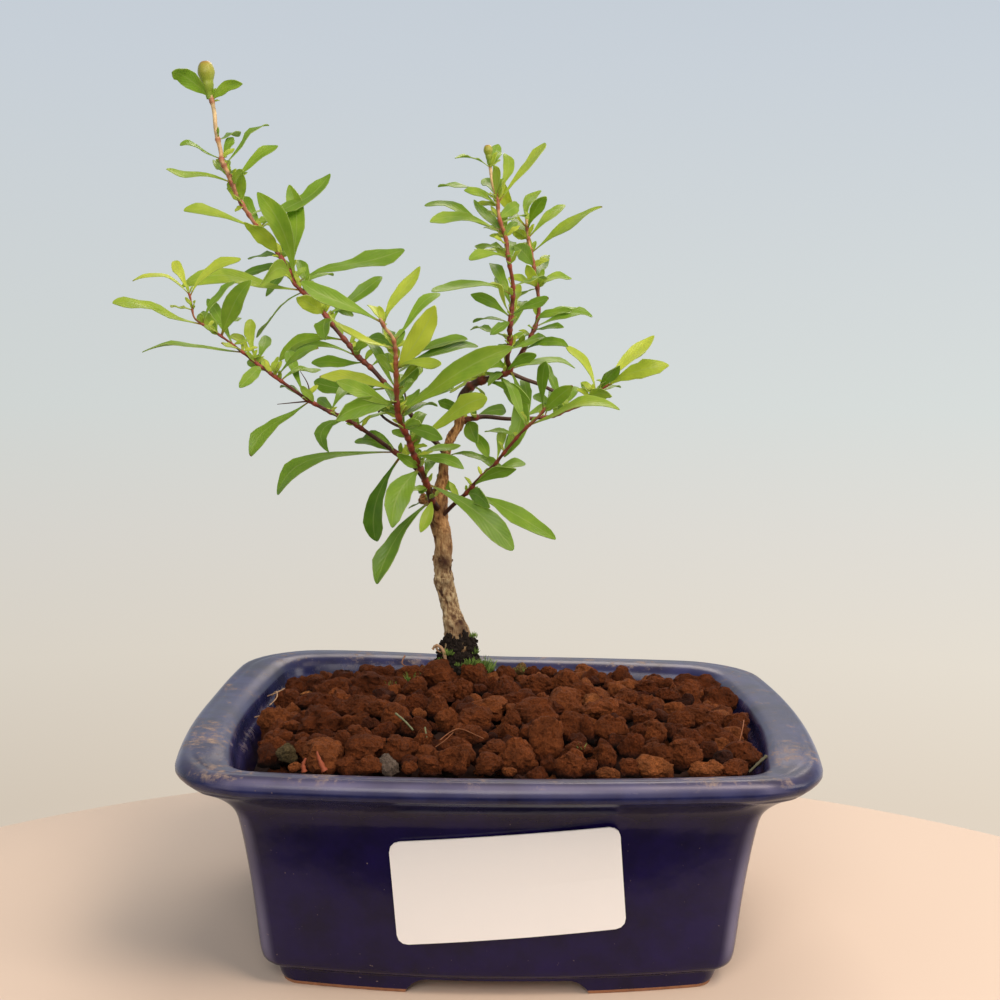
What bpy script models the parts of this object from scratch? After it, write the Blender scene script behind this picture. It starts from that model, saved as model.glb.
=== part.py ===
"""A young pomegranate bonsai in a small blue glazed pot, filled with lava granules.

Everything is placed in the pot's own frame: the origin is at the middle of the pot, on the surface
that its feet stand on, +X runs along the pot's long side and -Y is the pot's front. The last step
moves the whole model so that the middle of its bounding box's underside is the origin.
Sizes and places are in millimetres and are turned into metres where a mesh is made.
"""

import math
import random

import bmesh
import bpy
from mathutils import Matrix, Vector

MM = 0.001
GAP = 0.3  # clearance kept between two pieces that touch on the real object
POLYGON_GAP = 0.4  # the same between curved pieces, whose flat facets eat into it
MERGE_DISTANCE = 0.001

# Pot: half sizes at the corners of its plan, and how far the middle of each side bows out past them.
LIP_HALF_LENGTH = 60.4
LIP_HALF_DEPTH = 49.2
BOW_X = 4.6
BOW_Y = 4.8
POT_HEIGHT = 44.2
LIP_RADIUS = 2.3
LIP_CORNER = 13.0
BODY_CORNER = 6.0
FOOT_HEIGHT = 3.2
FOOT_WIDTH = 5.0
FOOT_DRAFT = 0.8
FOOT_CORNER = 4.0
FLOOR_TOP = 7.5
ARCH_HALF_WIDTH = 17.6
ARCH_HEIGHT = 2.9
CORNER_STEPS = 3
LONG_SIDE_STEPS = 8
SHORT_SIDE_STEPS = 6
HOLE_SIDES = 16

# Outside of the pot from the foot up to the neck: (half length, half depth, height).
OUTER_WALL = [
    (42.6, 39.6, 0.0),
    (43.4, 40.3, 1.7),
    (45.8, 41.2, 3.8),
    (46.9, 41.7, 7.5),
    (48.4, 42.3, 20.0),
    (50.3, 43.0, 31.5),
    (51.9, 43.8, 35.8),
    (54.8, 45.6, 38.4),
    (58.6, 48.0, 39.4),
]
# Inside of the pot from the edge of the flange down to the floor: (half length, half depth, height).
INNER_WALL = [
    (55.0, 43.8, 42.9),
    (50.9, 39.6, 42.0),
    (49.4, 38.3, 40.4),
    (45.0, 37.6, 12.0),
    (41.5, 34.5, FLOOR_TOP),
]

# Drainage.
DRAIN_X = 22.0
DRAIN_RADIUS = 4.5
MESH_SIZE = 15.0
MESH_THICKNESS = 1.0
MESH_BAR = 2.4
MESH_HOLE = 3.8

# Soil: a heap of lava granules, highest at the trunk.
SOIL_CELLS = 30
SOIL_EDGE_HEIGHT = 40.4
SOIL_INSET = 0.6
HEAP_RISE = 5.3  # of the whole surface above its edge
HEAP_EDGE_POWER = 4
MOUND_RISE = 2.1  # of the mound round the trunk above that
MOUND_SPREAD = 40.0
GRANULE_PITCH = 7.6
GRANULE_REACH = 4.7  # from a granule's middle to the bottom of the crease round it
GRANULE_RISE = 3.4
GRANULE_STEP = 2.0  # between the granules that stand out most and least
GRANULE_SHIFT = 1.5
CORNER_PULL = 0.055  # share by which the soil's corners are drawn in
ROW_SPACING = 0.87
FLAT_RING = 5.0  # smooth ground close to the trunk

# Trunk: the route of its middle with its radius, from the buried end to the top of the leader.
TRUNK_ROUTE = [
    (-10.0, 14.0, 36.0, 3.2),
    (-10.0, 14.0, 48.0, 3.6),
    (-10.0, 14.0, 51.5, 3.6),
    (-10.1, 14.0, 54.5, 3.4),
    (-10.3, 14.0, 58.0, 2.9),
    (-10.6, 14.0, 61.5, 2.6),
    (-11.4, 14.0, 67.0, 2.2),
    (-12.3, 14.0, 71.5, 2.2),
    (-12.8, 14.0, 74.0, 2.5),
    (-12.9, 14.0, 76.0, 2.0),
    (-13.1, 14.0, 79.0, 2.0),
    (-13.8, 14.0, 83.0, 2.1),
    (-14.0, 14.0, 86.5, 2.4),
    (-14.0, 14.0, 89.5, 1.9),
    (-13.2, 14.7, 92.5, 1.3),
    (-12.9, 15.0, 96.0, 1.2),
    (-12.0, 15.0, 100.0, 1.1),
    (-10.9, 15.0, 102.7, 1.1),
    (-9.7, 15.0, 104.5, 1.1),
    (-9.5, 15.0, 107.8, 0.9),
]
# Healed stubs of cut branches on the trunk: start, end, radius.
CUT_STUBS = [
    ((-14.0, 13.5, 87.0), (-18.2, 12.4, 88.8), 1.1),
    ((-12.8, 14.0, 73.8), (-15.0, 15.6, 75.0), 0.9),
]

# Bevel resolutions: 1 gives a stem six sides and 2 gives the trunk eight.
STEM_SIDES = 1
TRUNK_SIDES = 2
TWIG_THICKNESS = (1.1, 0.7)

# Leafy stems. Each has its route, its thickness at both ends, bare side twigs, and its leaves:
# (distance along the stem, heading from +X, rise above level, length, width, turn of the face).
# A face turned 0 degrees looks up, one turned 90 degrees looks to the front.
STEMS = {
    "spray_front": {
        "route": [
            (-14.0, 13.0, 86.0), (-15.5, 9.0, 89.0), (-16.5, 6.0, 93.0), (-17.5, 4.0, 96.0),
            (-19.0, 2.0, 99.5), (-20.0, 0.0, 103.0), (-21.5, -2.0, 106.5), (-22.0, -4.0, 110.0),
            (-22.0, -5.0, 113.0), (-22.0, -7.0, 117.5), (-22.0, -8.0, 121.0), (-22.5, -9.0, 124.0),
            (-24.0, -10.0, 126.0), (-25.0, -11.0, 128.0),
        ],
        "thickness": (2.1, 1.0),
        "back_leaves": 4,
        "twigs": [],
        "leaves": [
            (4, 205, -55, 22, 5.5, 70), (4, 255, -35, 10, 3, 90), (5, 165, -15, 9.5, 2.5, 30),
            (9, 240, -5, 6.5, 2, 50), (10, 345, -35, 24, 6, 60), (11, 75, 30, 10, 3, 90),
            (14, 225, -55, 14.5, 6, 90), (18, 325, -10, 13, 3, 70), (20, 352, -8, 21, 3.5, 40),
            (21, 335, 30, 20.5, 5, 60),
            (25, 320, -10, 12, 3.5, 90), (25, 305, 15, 7, 2, 70), (28, 30, 25, 14, 3.5, 40),
            (29, 345, 30, 28.5, 6, 50), (30, 215, 25, 13, 3, 90), (31, 205, -15, 14, 4, 90),
            (34, 160, 10, 18, 4.5, 40), (35, 50, 25, 11.5, 2.5, 30), (35, 305, 15, 6.5, 2, 40),
            (39, 325, 50, 16.5, 5, 90), (39, 320, 5, 12.5, 3, 60), (39, 20, 15, 18.5, 4.5, 30),
            (40, 20, 20, 16.5, 4, 20), (44, 205, 25, 16, 4, 30), (47, 130, -10, 10.5, 2.5, 50),
            (49, 35, 55, 15, 3.5, 30), (49, 120, 25, 9, 2, 40), (50, 205, 25, 18.5, 4.5, 40),
        ],
    },
    "spray_left_upper": {
        "route": [
            (-12.2, 15.2, 97.5), (-14.5, 16.0, 100.5), (-18.0, 17.0, 103.5), (-21.0, 18.0, 107.5),
            (-25.0, 19.0, 112.0), (-29.0, 20.0, 116.5), (-32.5, 21.0, 119.5), (-35.0, 22.0, 122.5),
            (-38.5, 23.0, 126.5), (-42.0, 24.0, 131.0), (-47.0, 25.0, 135.5), (-48.5, 25.0, 139.0),
            (-51.5, 26.0, 143.0), (-54.5, 26.0, 146.5), (-57.0, 27.0, 150.0), (-60.0, 28.0, 154.5),
            (-62.5, 29.0, 160.0), (-64.0, 29.0, 163.0), (-64.5, 30.0, 165.5), (-65.5, 30.0, 170.0),
            (-66.0, 31.0, 174.0), (-66.5, 31.0, 177.0),
        ],
        "thickness": (1.9, 1.1),
        "back_leaves": 5,
        "twigs": [
            [(-18.0, 17.0, 103.5), (-22.5, 17.0, 104.0), (-26.5, 18.5, 106.0), (-28.5, 20.5, 108.5)],
            [(-21.0, 18.0, 107.5), (-22.0, 19.0, 112.0), (-22.5, 19.5, 115.5)],
        ],
        "leaves": [
            (18, 55, 35, 11.5, 3, 50), (29, 150, 0, 14.5, 3.5, 50),
            (30, 160, 5, 18, 4.5, 30), (32, 305, 20, 8, 2.5, 90), (36, 160, -15, 17.5, 4, 50),
            (42, 275, -35, 8.5, 4, 90), (43, 240, 20, 10, 4, 90), (43, 25, 35, 19, 4.5, 50),
            (47, 45, -15, 11.5, 3, 50), (50, 155, -40, 16.5, 4, 20), (51, 160, 5, 21.5, 5, 20),
            (51, 195, 0, 26.5, 6, 40), (53, 230, 60, 22.5, 5.5, 70), (53, 15, 20, 26.5, 6, 30),
            (55, 235, -15, 10.5, 4.5, 90), (56, 100, 70, 21, 5, 20), (56, 130, -30, 12, 3, 90),
            (59, 140, 5, 12.5, 3, 50), (60, 75, 30, 6, 2, 60), (61, 230, 35, 11.5, 3, 90),
            (66, 30, 40, 22, 5.5, 30), (68, 205, 10, 17, 4, 60), (75, 120, 30, 9.5, 3, 90),
            (80, 205, 10, 15, 3.5, 50), (80, 35, 40, 14.5, 3.5, 40), (80, 300, 25, 7, 2.5, 90),
            (81, 125, 30, 11.5, 3, 50), (82, 285, 30, 5.5, 2, 60), (86, 225, 10, 11, 2.5, 50),
            (86, 80, 35, 10, 2.5, 40), (98, 230, 30, 11.5, 3.5, 90), (98, 60, 30, 10.5, 2.5, 50),
        ],
    },
    "spray_left_lower": {
        "route": [
            (-14.5, 14.5, 88.0), (-19.0, 14.0, 95.0), (-24.0, 13.0, 99.0), (-29.5, 12.0, 103.0),
            (-34.0, 11.0, 106.0), (-37.5, 11.0, 107.5), (-42.0, 10.0, 110.0), (-45.5, 9.0, 112.5),
            (-49.5, 8.0, 115.5), (-53.0, 8.0, 118.0), (-56.0, 7.0, 120.5), (-60.5, 6.0, 124.0),
            (-64.5, 6.0, 126.5), (-66.0, 5.0, 128.0), (-66.5, 5.0, 131.0), (-67.0, 5.0, 133.0),
        ],
        "thickness": (2.0, 1.0),
        "back_leaves": 3,
        "twigs": [
            [(-42.0, 10.0, 110.0), (-49.0, 9.0, 110.0)],
            [(-42.0, 10.0, 110.0), (-44.0, 9.5, 117.0)],
        ],
        "leaves": [
            (13, 130, -65, 22.5, 5.5, 40), (13, 145, 10, 13, 3, 50), (14, 195, -20, 27.5, 6, 20),
            (27, 250, -40, 11, 4, 90), (27, 145, 40, 14, 3.5, 50), (29, 125, 20, 10.5, 2.5, 90),
            (37, 210, -40, 18, 4.5, 40), (45, 325, 30, 14, 3.5, 60), (45, 65, -40, 11.5, 3, 30),
            (49, 250, -25, 9.5, 2.5, 90), (50, 110, 50, 12.5, 3, 40), (52, 125, 25, 11.5, 2.5, 20),
            (52, 65, -20, 9.5, 2.5, 80), (54, 205, 0, 21.5, 5, 30), (54, 245, 15, 7.5, 2, 30),
            (60, 320, 50, 15.5, 4, 90), (61, 135, 30, 13, 3, 60), (64, 205, 15, 19.5, 4.5, 50),
            (65, 50, 45, 13, 3, 30), (68, 135, 5, 9, 2, 30), (71, 35, 35, 14.5, 3.5, 50),
            (72, 210, 10, 12.5, 3, 40), (72, 120, 35, 12, 3, 20),
        ],
    },
    "spray_right_lower": {
        "route": [
            (-13.2, 13.2, 84.5), (-11.0, 11.0, 87.0), (-7.0, 8.0, 91.0), (-5.5, 7.0, 93.0),
            (-1.5, 5.0, 97.0), (0.0, 4.0, 99.0), (4.0, 2.0, 104.0), (7.5, 0.0, 107.5),
            (9.5, -1.0, 110.0),
        ],
        "thickness": (1.7, 0.9),
        "back_leaves": 1,
        "twigs": [],
        "leaves": [
            (4, 345, -15, 24, 6, 30), (8, 170, 25, 10.5, 2.5, 40), (10, 315, 5, 10, 4, 90),
            (12, 320, 20, 13, 3.5, 90), (21, 60, 45, 9, 2.5, 50), (28, 145, 5, 9.5, 2.5, 50),
            (32, 340, 10, 20.5, 5, 30), (37, 270, 55, 13, 3, 60), (37, 305, 30, 11.5, 4, 90),
        ],
    },
    "spray_right_far": {
        "route": [
            (-9.7, 15.2, 105.3), (-4.5, 17.0, 106.5), (2.0, 18.0, 106.0), (10.5, 19.0, 106.5),
            (14.5, 19.0, 108.0), (18.5, 20.0, 109.5), (22.5, 20.0, 113.0), (24.5, 20.0, 114.0),
        ],
        "thickness": (1.5, 0.9),
        "back_leaves": 2,
        "twigs": [],
        "leaves": [
            (4, 35, -40, 12, 3, 40), (5, 280, -35, 8, 4, 90), (6, 50, 5, 10.5, 2.5, 60),
            (17, 100, 50, 12, 3, 70), (23, 55, 30, 11.5, 3, 60), (24, 125, 20, 10.5, 2.5, 50),
            (31, 300, 10, 9.5, 2.5, 80), (33, 300, 35, 11.5, 3, 90), (34, 140, 50, 14, 3.5, 40),
            (36, 30, 40, 17, 4, 50), (37, 335, 20, 15.5, 4.5, 90),
        ],
    },
    "spray_right_upper": {
        "route": [
            (-9.5, 15.0, 108.2), (-9.0, 15.0, 111.0), (-7.5, 15.0, 113.0), (-5.0, 15.0, 114.5),
            (-1.5, 15.0, 115.5), (1.5, 14.5, 117.0), (1.0, 13.0, 119.5), (1.5, 12.0, 123.5),
            (1.5, 11.0, 126.5), (2.0, 11.0, 131.5), (2.0, 10.0, 136.0), (1.0, 9.0, 141.0),
            (0.5, 9.0, 145.0), (-1.0, 8.0, 149.5), (-1.5, 8.0, 153.5), (-2.5, 7.0, 156.5),
            (-3.0, 7.0, 160.0),
        ],
        "thickness": (1.6, 0.9),
        "back_leaves": 3,
        "twigs": [
            [(1.5, 14.5, 116.5), (4.5, 14.0, 115.0), (9.0, 13.0, 114.0), (14.0, 12.0, 111.0)],
        ],
        "leaves": [
            (6, 60, -25, 7, 2, 40), (8, 330, -20, 13.5, 3.5, 60), (12, 145, -15, 13.5, 3, 30),
            (13, 65, -40, 11, 2.5, 40), (14, 310, 20, 11, 3, 90), (15, 225, 0, 11, 2.5, 50),
            (15, 20, 0, 16, 4, 20), (16, 250, -75, 20, 5, 50), (23, 140, 5, 12, 3, 20),
            (26, 135, 0, 11.5, 2.5, 30), (27, 140, 25, 13, 3, 60), (27, 240, -20, 8.5, 2, 80),
            (28, 240, 35, 11, 2.5, 30), (28, 80, 40, 10.5, 2.5, 40), (32, 200, 0, 18.5, 4.5, 40),
            (32, 115, 25, 9.5, 2.5, 50), (41, 130, 10, 11, 2.5, 30), (41, 225, -5, 11.5, 2.5, 50),
            (41, 135, 15, 11.5, 3, 20), (43, 295, -30, 8.5, 3.5, 90), (45, 200, 10, 17.5, 4, 40),
            (45, 125, 20, 9.5, 2, 40), (45, 95, 40, 10.5, 2.5, 40), (47, 160, 15, 19, 4.5, 10),
            (50, 85, 45, 11, 3, 90), (52, 230, 15, 11, 2.5, 50), (53, 155, 10, 14.5, 3.5, 20),
            (54, 30, 45, 17, 4, 30), (54, 265, 35, 10, 2.5, 80), (56, 75, 45, 11.5, 3, 30),
            (61, 230, 5, 11, 2.5, 40), (61, 75, 40, 9, 3, 90),
        ],
        "fork": {
            "route": [
                (1.5, 14.5, 117.0), (5.0, 19.0, 122.0), (6.5, 20.0, 125.0), (7.5, 21.0, 127.5),
                (8.0, 21.0, 130.5), (7.5, 22.0, 136.0), (7.0, 23.0, 138.5), (6.5, 23.0, 141.5),
                (5.5, 24.0, 146.0), (5.0, 24.0, 150.5),
            ],
            "thickness": (1.3, 0.9),
            "back_leaves": 2,
            "leaves": [
                (7, 320, 5, 12.5, 3, 70), (11, 120, -20, 8, 2, 40), (12, 315, 20, 12, 3, 50),
                (12, 310, 5, 10.5, 2.5, 40), (13, 25, 10, 14.5, 3.5, 40), (16, 295, 25, 6, 2.5, 90),
                (22, 230, 10, 10.5, 3, 90), (22, 45, 10, 11.5, 3, 30), (22, 125, -15, 7.5, 2, 30),
                (27, 60, 25, 7, 2, 40), (30, 335, 30, 19.5, 4.5, 40), (33, 40, 35, 13.5, 3.5, 40),
                (35, 295, 35, 11, 3, 90), (36, 70, 45, 12, 3, 30), (36, 245, 30, 10.5, 2.5, 60),
            ],
        },
    },
}

# Blade of a leaf: share of its length and of its half width at each cross-section before the tip.
LEAF_STATIONS = [(0.0, 0.0), (0.18, 0.05), (0.48, 0.92), (0.82, 0.96)]
PETIOLE_HALF = 0.36
LEAF_THICKNESS = 0.7
LEAF_ARCH = 0.07
LEAF_FOLD = 0.16
GOLDEN_ANGLE = 137.5

# Flower buds: foot, tip, largest radius.
BUDS = {
    "flower_bud_left": ((-66.5, 31.0, 177.4), (-68.0, 31.3, 185.5), 1.9),
    "flower_bud_right": ((-3.1, 6.9, 161.1), (-3.6, 6.7, 164.9), 1.1),
}
BUD_SIDES = 8
BUD_PROFILE = [(0.0, 0.4), (0.14, 0.8), (0.34, 1.0), (0.62, 0.82), (0.85, 0.62), (1.0, 0.14)]

# Label: a blank rounded card stuck on the pot's front, slightly turned.
LABEL_CENTRE_X = 1.9
LABEL_CENTRE_Z = 22.7
LABEL_LENGTH = 43.2
LABEL_HEIGHT = 20.4
LABEL_CORNER = 2.0
LABEL_THICKNESS = 0.4
LABEL_TILT = 4.8
LABEL_COLUMNS = 7
LABEL_ROWS = 2


# ---------------------------------------------------------------- basics


def clear_scene():
    for item in list(bpy.data.objects):
        bpy.data.objects.remove(item)


def material(name, colour, roughness):
    made = bpy.data.materials.new(name)
    made.use_nodes = True
    shader = made.node_tree.nodes["Principled BSDF"]
    shader.inputs["Base Color"].default_value = (*colour, 1.0)
    shader.inputs["Roughness"].default_value = roughness
    shader.inputs["Metallic"].default_value = 0.0
    return made


def object_from_bmesh(name, shape, finish):
    """Scale a bmesh from millimetres to metres and link it to the scene as a named object."""
    bmesh.ops.scale(shape, vec=(MM, MM, MM), verts=shape.verts)
    bmesh.ops.recalc_face_normals(shape, faces=shape.faces)
    mesh = bpy.data.meshes.new(name)
    shape.to_mesh(mesh)
    shape.free()
    mesh.materials.append(finish)
    made = bpy.data.objects.new(name, mesh)
    bpy.context.scene.collection.objects.link(made)
    return made


def combine(target, others, operation):
    """Join or cut a whole collection of objects at once, apply it, and remove what was used."""
    group = bpy.data.collections.new(target.name + "_parts")
    bpy.context.scene.collection.children.link(group)
    for other in others:
        bpy.context.scene.collection.objects.unlink(other)
        group.objects.link(other)
    modifier = target.modifiers.new("combine", "BOOLEAN")
    modifier.operation = operation
    modifier.operand_type = "COLLECTION"
    modifier.collection = group
    modifier.solver = "EXACT"
    modifier.material_mode = "TRANSFER"
    bpy.context.view_layer.update()
    graph = bpy.context.evaluated_depsgraph_get()
    result = bpy.data.meshes.new_from_object(target.evaluated_get(graph))
    target.modifiers.clear()
    target.data = result
    for other in others:
        bpy.data.objects.remove(other)
    bpy.data.collections.remove(group)


def merge_close_points(item):
    shape = bmesh.new()
    shape.from_mesh(item.data)
    bmesh.ops.remove_doubles(shape, verts=shape.verts, dist=MERGE_DISTANCE * MM)
    bmesh.ops.dissolve_degenerate(shape, edges=shape.edges, dist=MERGE_DISTANCE * MM)
    bmesh.ops.triangulate(shape, faces=shape.faces)
    shape.to_mesh(item.data)
    shape.free()


# ---------------------------------------------------------------- pot


def plan_outline(half_length, half_depth, corner):
    """Closed outline of the pot at one height: a rounded rectangle whose four sides bow outwards."""
    points = []
    steps = [SHORT_SIDE_STEPS, LONG_SIDE_STEPS, SHORT_SIDE_STEPS, LONG_SIDE_STEPS]
    signs = [(1, -1), (1, 1), (-1, 1), (-1, -1)]
    for index, (sx, sy) in enumerate(signs):
        centre = Vector((sx * (half_length - corner), sy * (half_depth - corner)))
        start = (index - 1) * math.pi / 2
        for step in range(CORNER_STEPS + 1):
            angle = start + step * math.pi / 2 / CORNER_STEPS
            points.append(centre + corner * Vector((math.cos(angle), math.sin(angle))))
        next_sx, next_sy = signs[(index + 1) % 4]
        next_centre = Vector((next_sx * (half_length - corner), next_sy * (half_depth - corner)))
        angle = start + math.pi / 2
        first = points[-1]
        last = next_centre + corner * Vector((math.cos(angle), math.sin(angle)))
        for step in range(1, steps[index]):
            points.append(first.lerp(last, step / steps[index]))
    return [bowed(point, half_length, half_depth) for point in points]


def bowed(point, half_length, half_depth):
    """Push a point of the plain outline outwards, most at the middle of each side."""
    across = point.x / half_length
    along = point.y / half_depth
    x = point.x + BOW_X * across * (1 - along * along)
    y = point.y + BOW_Y * along * (1 - across * across)
    return Vector((x, y))


def add_ring(shape, outline, height):
    return [shape.verts.new((point.x, point.y, height)) for point in outline]


def loft(shape, rings):
    """Skin closed rings of equal count into a tube and close its two ends."""
    for lower, upper in zip(rings, rings[1:]):
        count = len(lower)
        for i in range(count):
            j = (i + 1) % count
            shape.faces.new((lower[i], lower[j], upper[j], upper[i]))
    shape.faces.new(rings[0][::-1])
    shape.faces.new(rings[-1])


def lip_sections():
    """Round lip, from its underside over the top to the flange: (half length, half depth, height)."""
    middle_length = LIP_HALF_LENGTH - LIP_RADIUS
    middle_depth = LIP_HALF_DEPTH - LIP_RADIUS
    middle_height = POT_HEIGHT - LIP_RADIUS
    sections = []
    for degrees in (-50, -5, 40, 85, 125):
        angle = math.radians(degrees)
        out = LIP_RADIUS * math.cos(angle)
        up = LIP_RADIUS * math.sin(angle)
        sections.append((middle_length + out, middle_depth + out, middle_height + up))
    return sections


def make_pot(finish):
    shape = bmesh.new()
    rings = []
    first_length, first_depth, _ = OUTER_WALL[0]
    inner = (first_length - FOOT_WIDTH, first_depth - FOOT_WIDTH)
    underside = (inner[0] - FOOT_DRAFT, inner[1] - FOOT_DRAFT)
    rings.append(add_ring(shape, plan_outline(*underside, FOOT_CORNER), FOOT_HEIGHT))
    rings.append(add_ring(shape, plan_outline(*inner, FOOT_CORNER), 0.0))
    for half_length, half_depth, height in OUTER_WALL:
        rings.append(add_ring(shape, plan_outline(half_length, half_depth, BODY_CORNER), height))
    for half_length, half_depth, height in lip_sections():
        rings.append(add_ring(shape, plan_outline(half_length, half_depth, LIP_CORNER), height))
    for half_length, half_depth, height in INNER_WALL:
        rings.append(add_ring(shape, plan_outline(half_length, half_depth, BODY_CORNER), height))
    loft(shape, rings)
    pot = object_from_bmesh("pot", shape, finish)
    cutters = [foot_arch_cutter(finish)]
    for x in (-DRAIN_X, DRAIN_X):
        centre = (x, 0.0, FLOOR_TOP / 2)
        cutters.append(cylinder("drain_cutter", centre, DRAIN_RADIUS, FLOOR_TOP * 2, finish))
    combine(pot, cutters, "DIFFERENCE")
    merge_close_points(pot)
    return pot


def foot_arch_cutter(finish):
    """Prism that opens the low arches in the front and back of the foot band."""
    shape = bmesh.new()
    right_side = [(0.0, -1.0), (0.0, 0.3), (-2.2, 1.8), (-5.5, ARCH_HEIGHT)]
    right = [(ARCH_HALF_WIDTH + x, z) for x, z in right_side]
    left = [(-x, z) for x, z in reversed(right)]
    corners = [shape.verts.new((x, -LIP_HALF_DEPTH, z)) for x, z in right + left]
    face = shape.faces.new(corners)
    made = bmesh.ops.extrude_face_region(shape, geom=[face])
    moved = [item for item in made["geom"] if isinstance(item, bmesh.types.BMVert)]
    bmesh.ops.translate(shape, vec=(0, 2 * LIP_HALF_DEPTH, 0), verts=moved)
    return object_from_bmesh("arch_cutter", shape, finish)


def cylinder(name, centre, radius, depth, finish):
    shape = bmesh.new()
    bmesh.ops.create_cone(
        shape, cap_ends=True, segments=HOLE_SIDES, radius1=radius, radius2=radius, depth=depth,
        matrix=Matrix.Translation(centre),
    )
    return object_from_bmesh(name, shape, finish)


def box(name, centre, size, finish):
    shape = bmesh.new()
    scale = Matrix.Diagonal((*size, 1.0))
    bmesh.ops.create_cube(shape, size=1.0, matrix=Matrix.Translation(centre) @ scale)
    return object_from_bmesh(name, shape, finish)


# ---------------------------------------------------------------- drain meshes and soil


def make_drain_mesh(name, x, finish):
    """Square plastic mesh with two by two openings, lying on the pot's floor over a drain hole."""
    pitch = MESH_BAR + MESH_HOLE
    marks = [-MESH_SIZE / 2]
    for index in (-0.5, 0.5):
        marks.append(index * pitch - MESH_HOLE / 2)
        marks.append(index * pitch + MESH_HOLE / 2)
    marks.append(MESH_SIZE / 2)
    bottom = FLOOR_TOP + GAP
    shape = bmesh.new()
    grid = [[shape.verts.new((x + u, v, bottom)) for v in marks] for u in marks]
    for i in range(len(marks) - 1):
        for j in range(len(marks) - 1):
            if i % 2 == 1 and j % 2 == 1:
                continue
            shape.faces.new((grid[i][j], grid[i + 1][j], grid[i + 1][j + 1], grid[i][j + 1]))
    loose = [vert for vert in shape.verts if not vert.link_faces]
    bmesh.ops.delete(shape, geom=loose, context="VERTS")
    made = bmesh.ops.extrude_face_region(shape, geom=shape.faces[:])
    moved = [item for item in made["geom"] if isinstance(item, bmesh.types.BMVert)]
    bmesh.ops.translate(shape, vec=(0, 0, MESH_THICKNESS), verts=moved)
    return object_from_bmesh(name, shape, finish)


def granule_centres():
    """Lava granules on a jittered lattice: (x, y, size, how far the granule stands out or sinks in)."""
    dice = random.Random(7)
    centres = []
    reach = int(LIP_HALF_LENGTH / GRANULE_PITCH)
    for row in range(-reach, reach + 1):
        for column in range(-reach, reach + 1):
            x = (column + 0.5 * (row % 2)) * GRANULE_PITCH + dice.uniform(-GRANULE_SHIFT, GRANULE_SHIFT)
            y = row * GRANULE_PITCH * ROW_SPACING + dice.uniform(-GRANULE_SHIFT, GRANULE_SHIFT)
            size = dice.uniform(0.8, 1.25)
            step = dice.uniform(-0.5, 0.5) * GRANULE_STEP
            centres.append((x, y, size, step))
    return centres


def soil_height(x, y, edge, centres):
    """Height of the soil's surface. edge is 0 at the pot's middle and 1 at its wall."""
    trunk_x, trunk_y = TRUNK_ROUTE[1][:2]
    from_trunk = math.hypot(x - trunk_x, y - trunk_y)
    mound = MOUND_RISE * math.exp(-((from_trunk / MOUND_SPREAD) ** 2))
    heap = (HEAP_RISE + mound) * (1 - edge ** HEAP_EDGE_POWER)
    nearest, step = min((math.hypot(x - cx, y - cy) / size, step) for cx, cy, size, step in centres)
    bump = step + GRANULE_RISE * max(0.0, 1 - (nearest / GRANULE_REACH) ** 2)
    near_trunk = min(1.0, max(0.0, (from_trunk - FLAT_RING) / FLAT_RING))
    near_wall = 1 - 0.6 * edge ** 12
    return SOIL_EDGE_HEIGHT + heap + bump * near_trunk * near_wall


def inner_outline_at(height, inset):
    """Outline of the pot's inner wall at a height, moved in by the given clearance."""
    upper_length, upper_depth, upper_height = INNER_WALL[2]
    lower_length, lower_depth, lower_height = INNER_WALL[3]
    share = (height - lower_height) / (upper_height - lower_height)
    half_length = lower_length + share * (upper_length - lower_length) - inset
    half_depth = lower_depth + share * (upper_depth - lower_depth) - inset
    return half_length, half_depth


def square_to_plan(u, v, half_length, half_depth):
    """Map a point of the square -1..1 to the pot's plan, square corners to rounded ones."""
    ring = max(abs(u), abs(v))
    if ring == 0.0:
        return Vector((0.0, 0.0)), 0.0
    across = u / ring
    along = v / ring
    pull = 1 - CORNER_PULL * min(abs(across), abs(along)) ** 8
    point = Vector((half_length * across * pull, half_depth * along * pull))
    point = bowed(point, half_length, half_depth)
    return point * ring, ring


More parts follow.
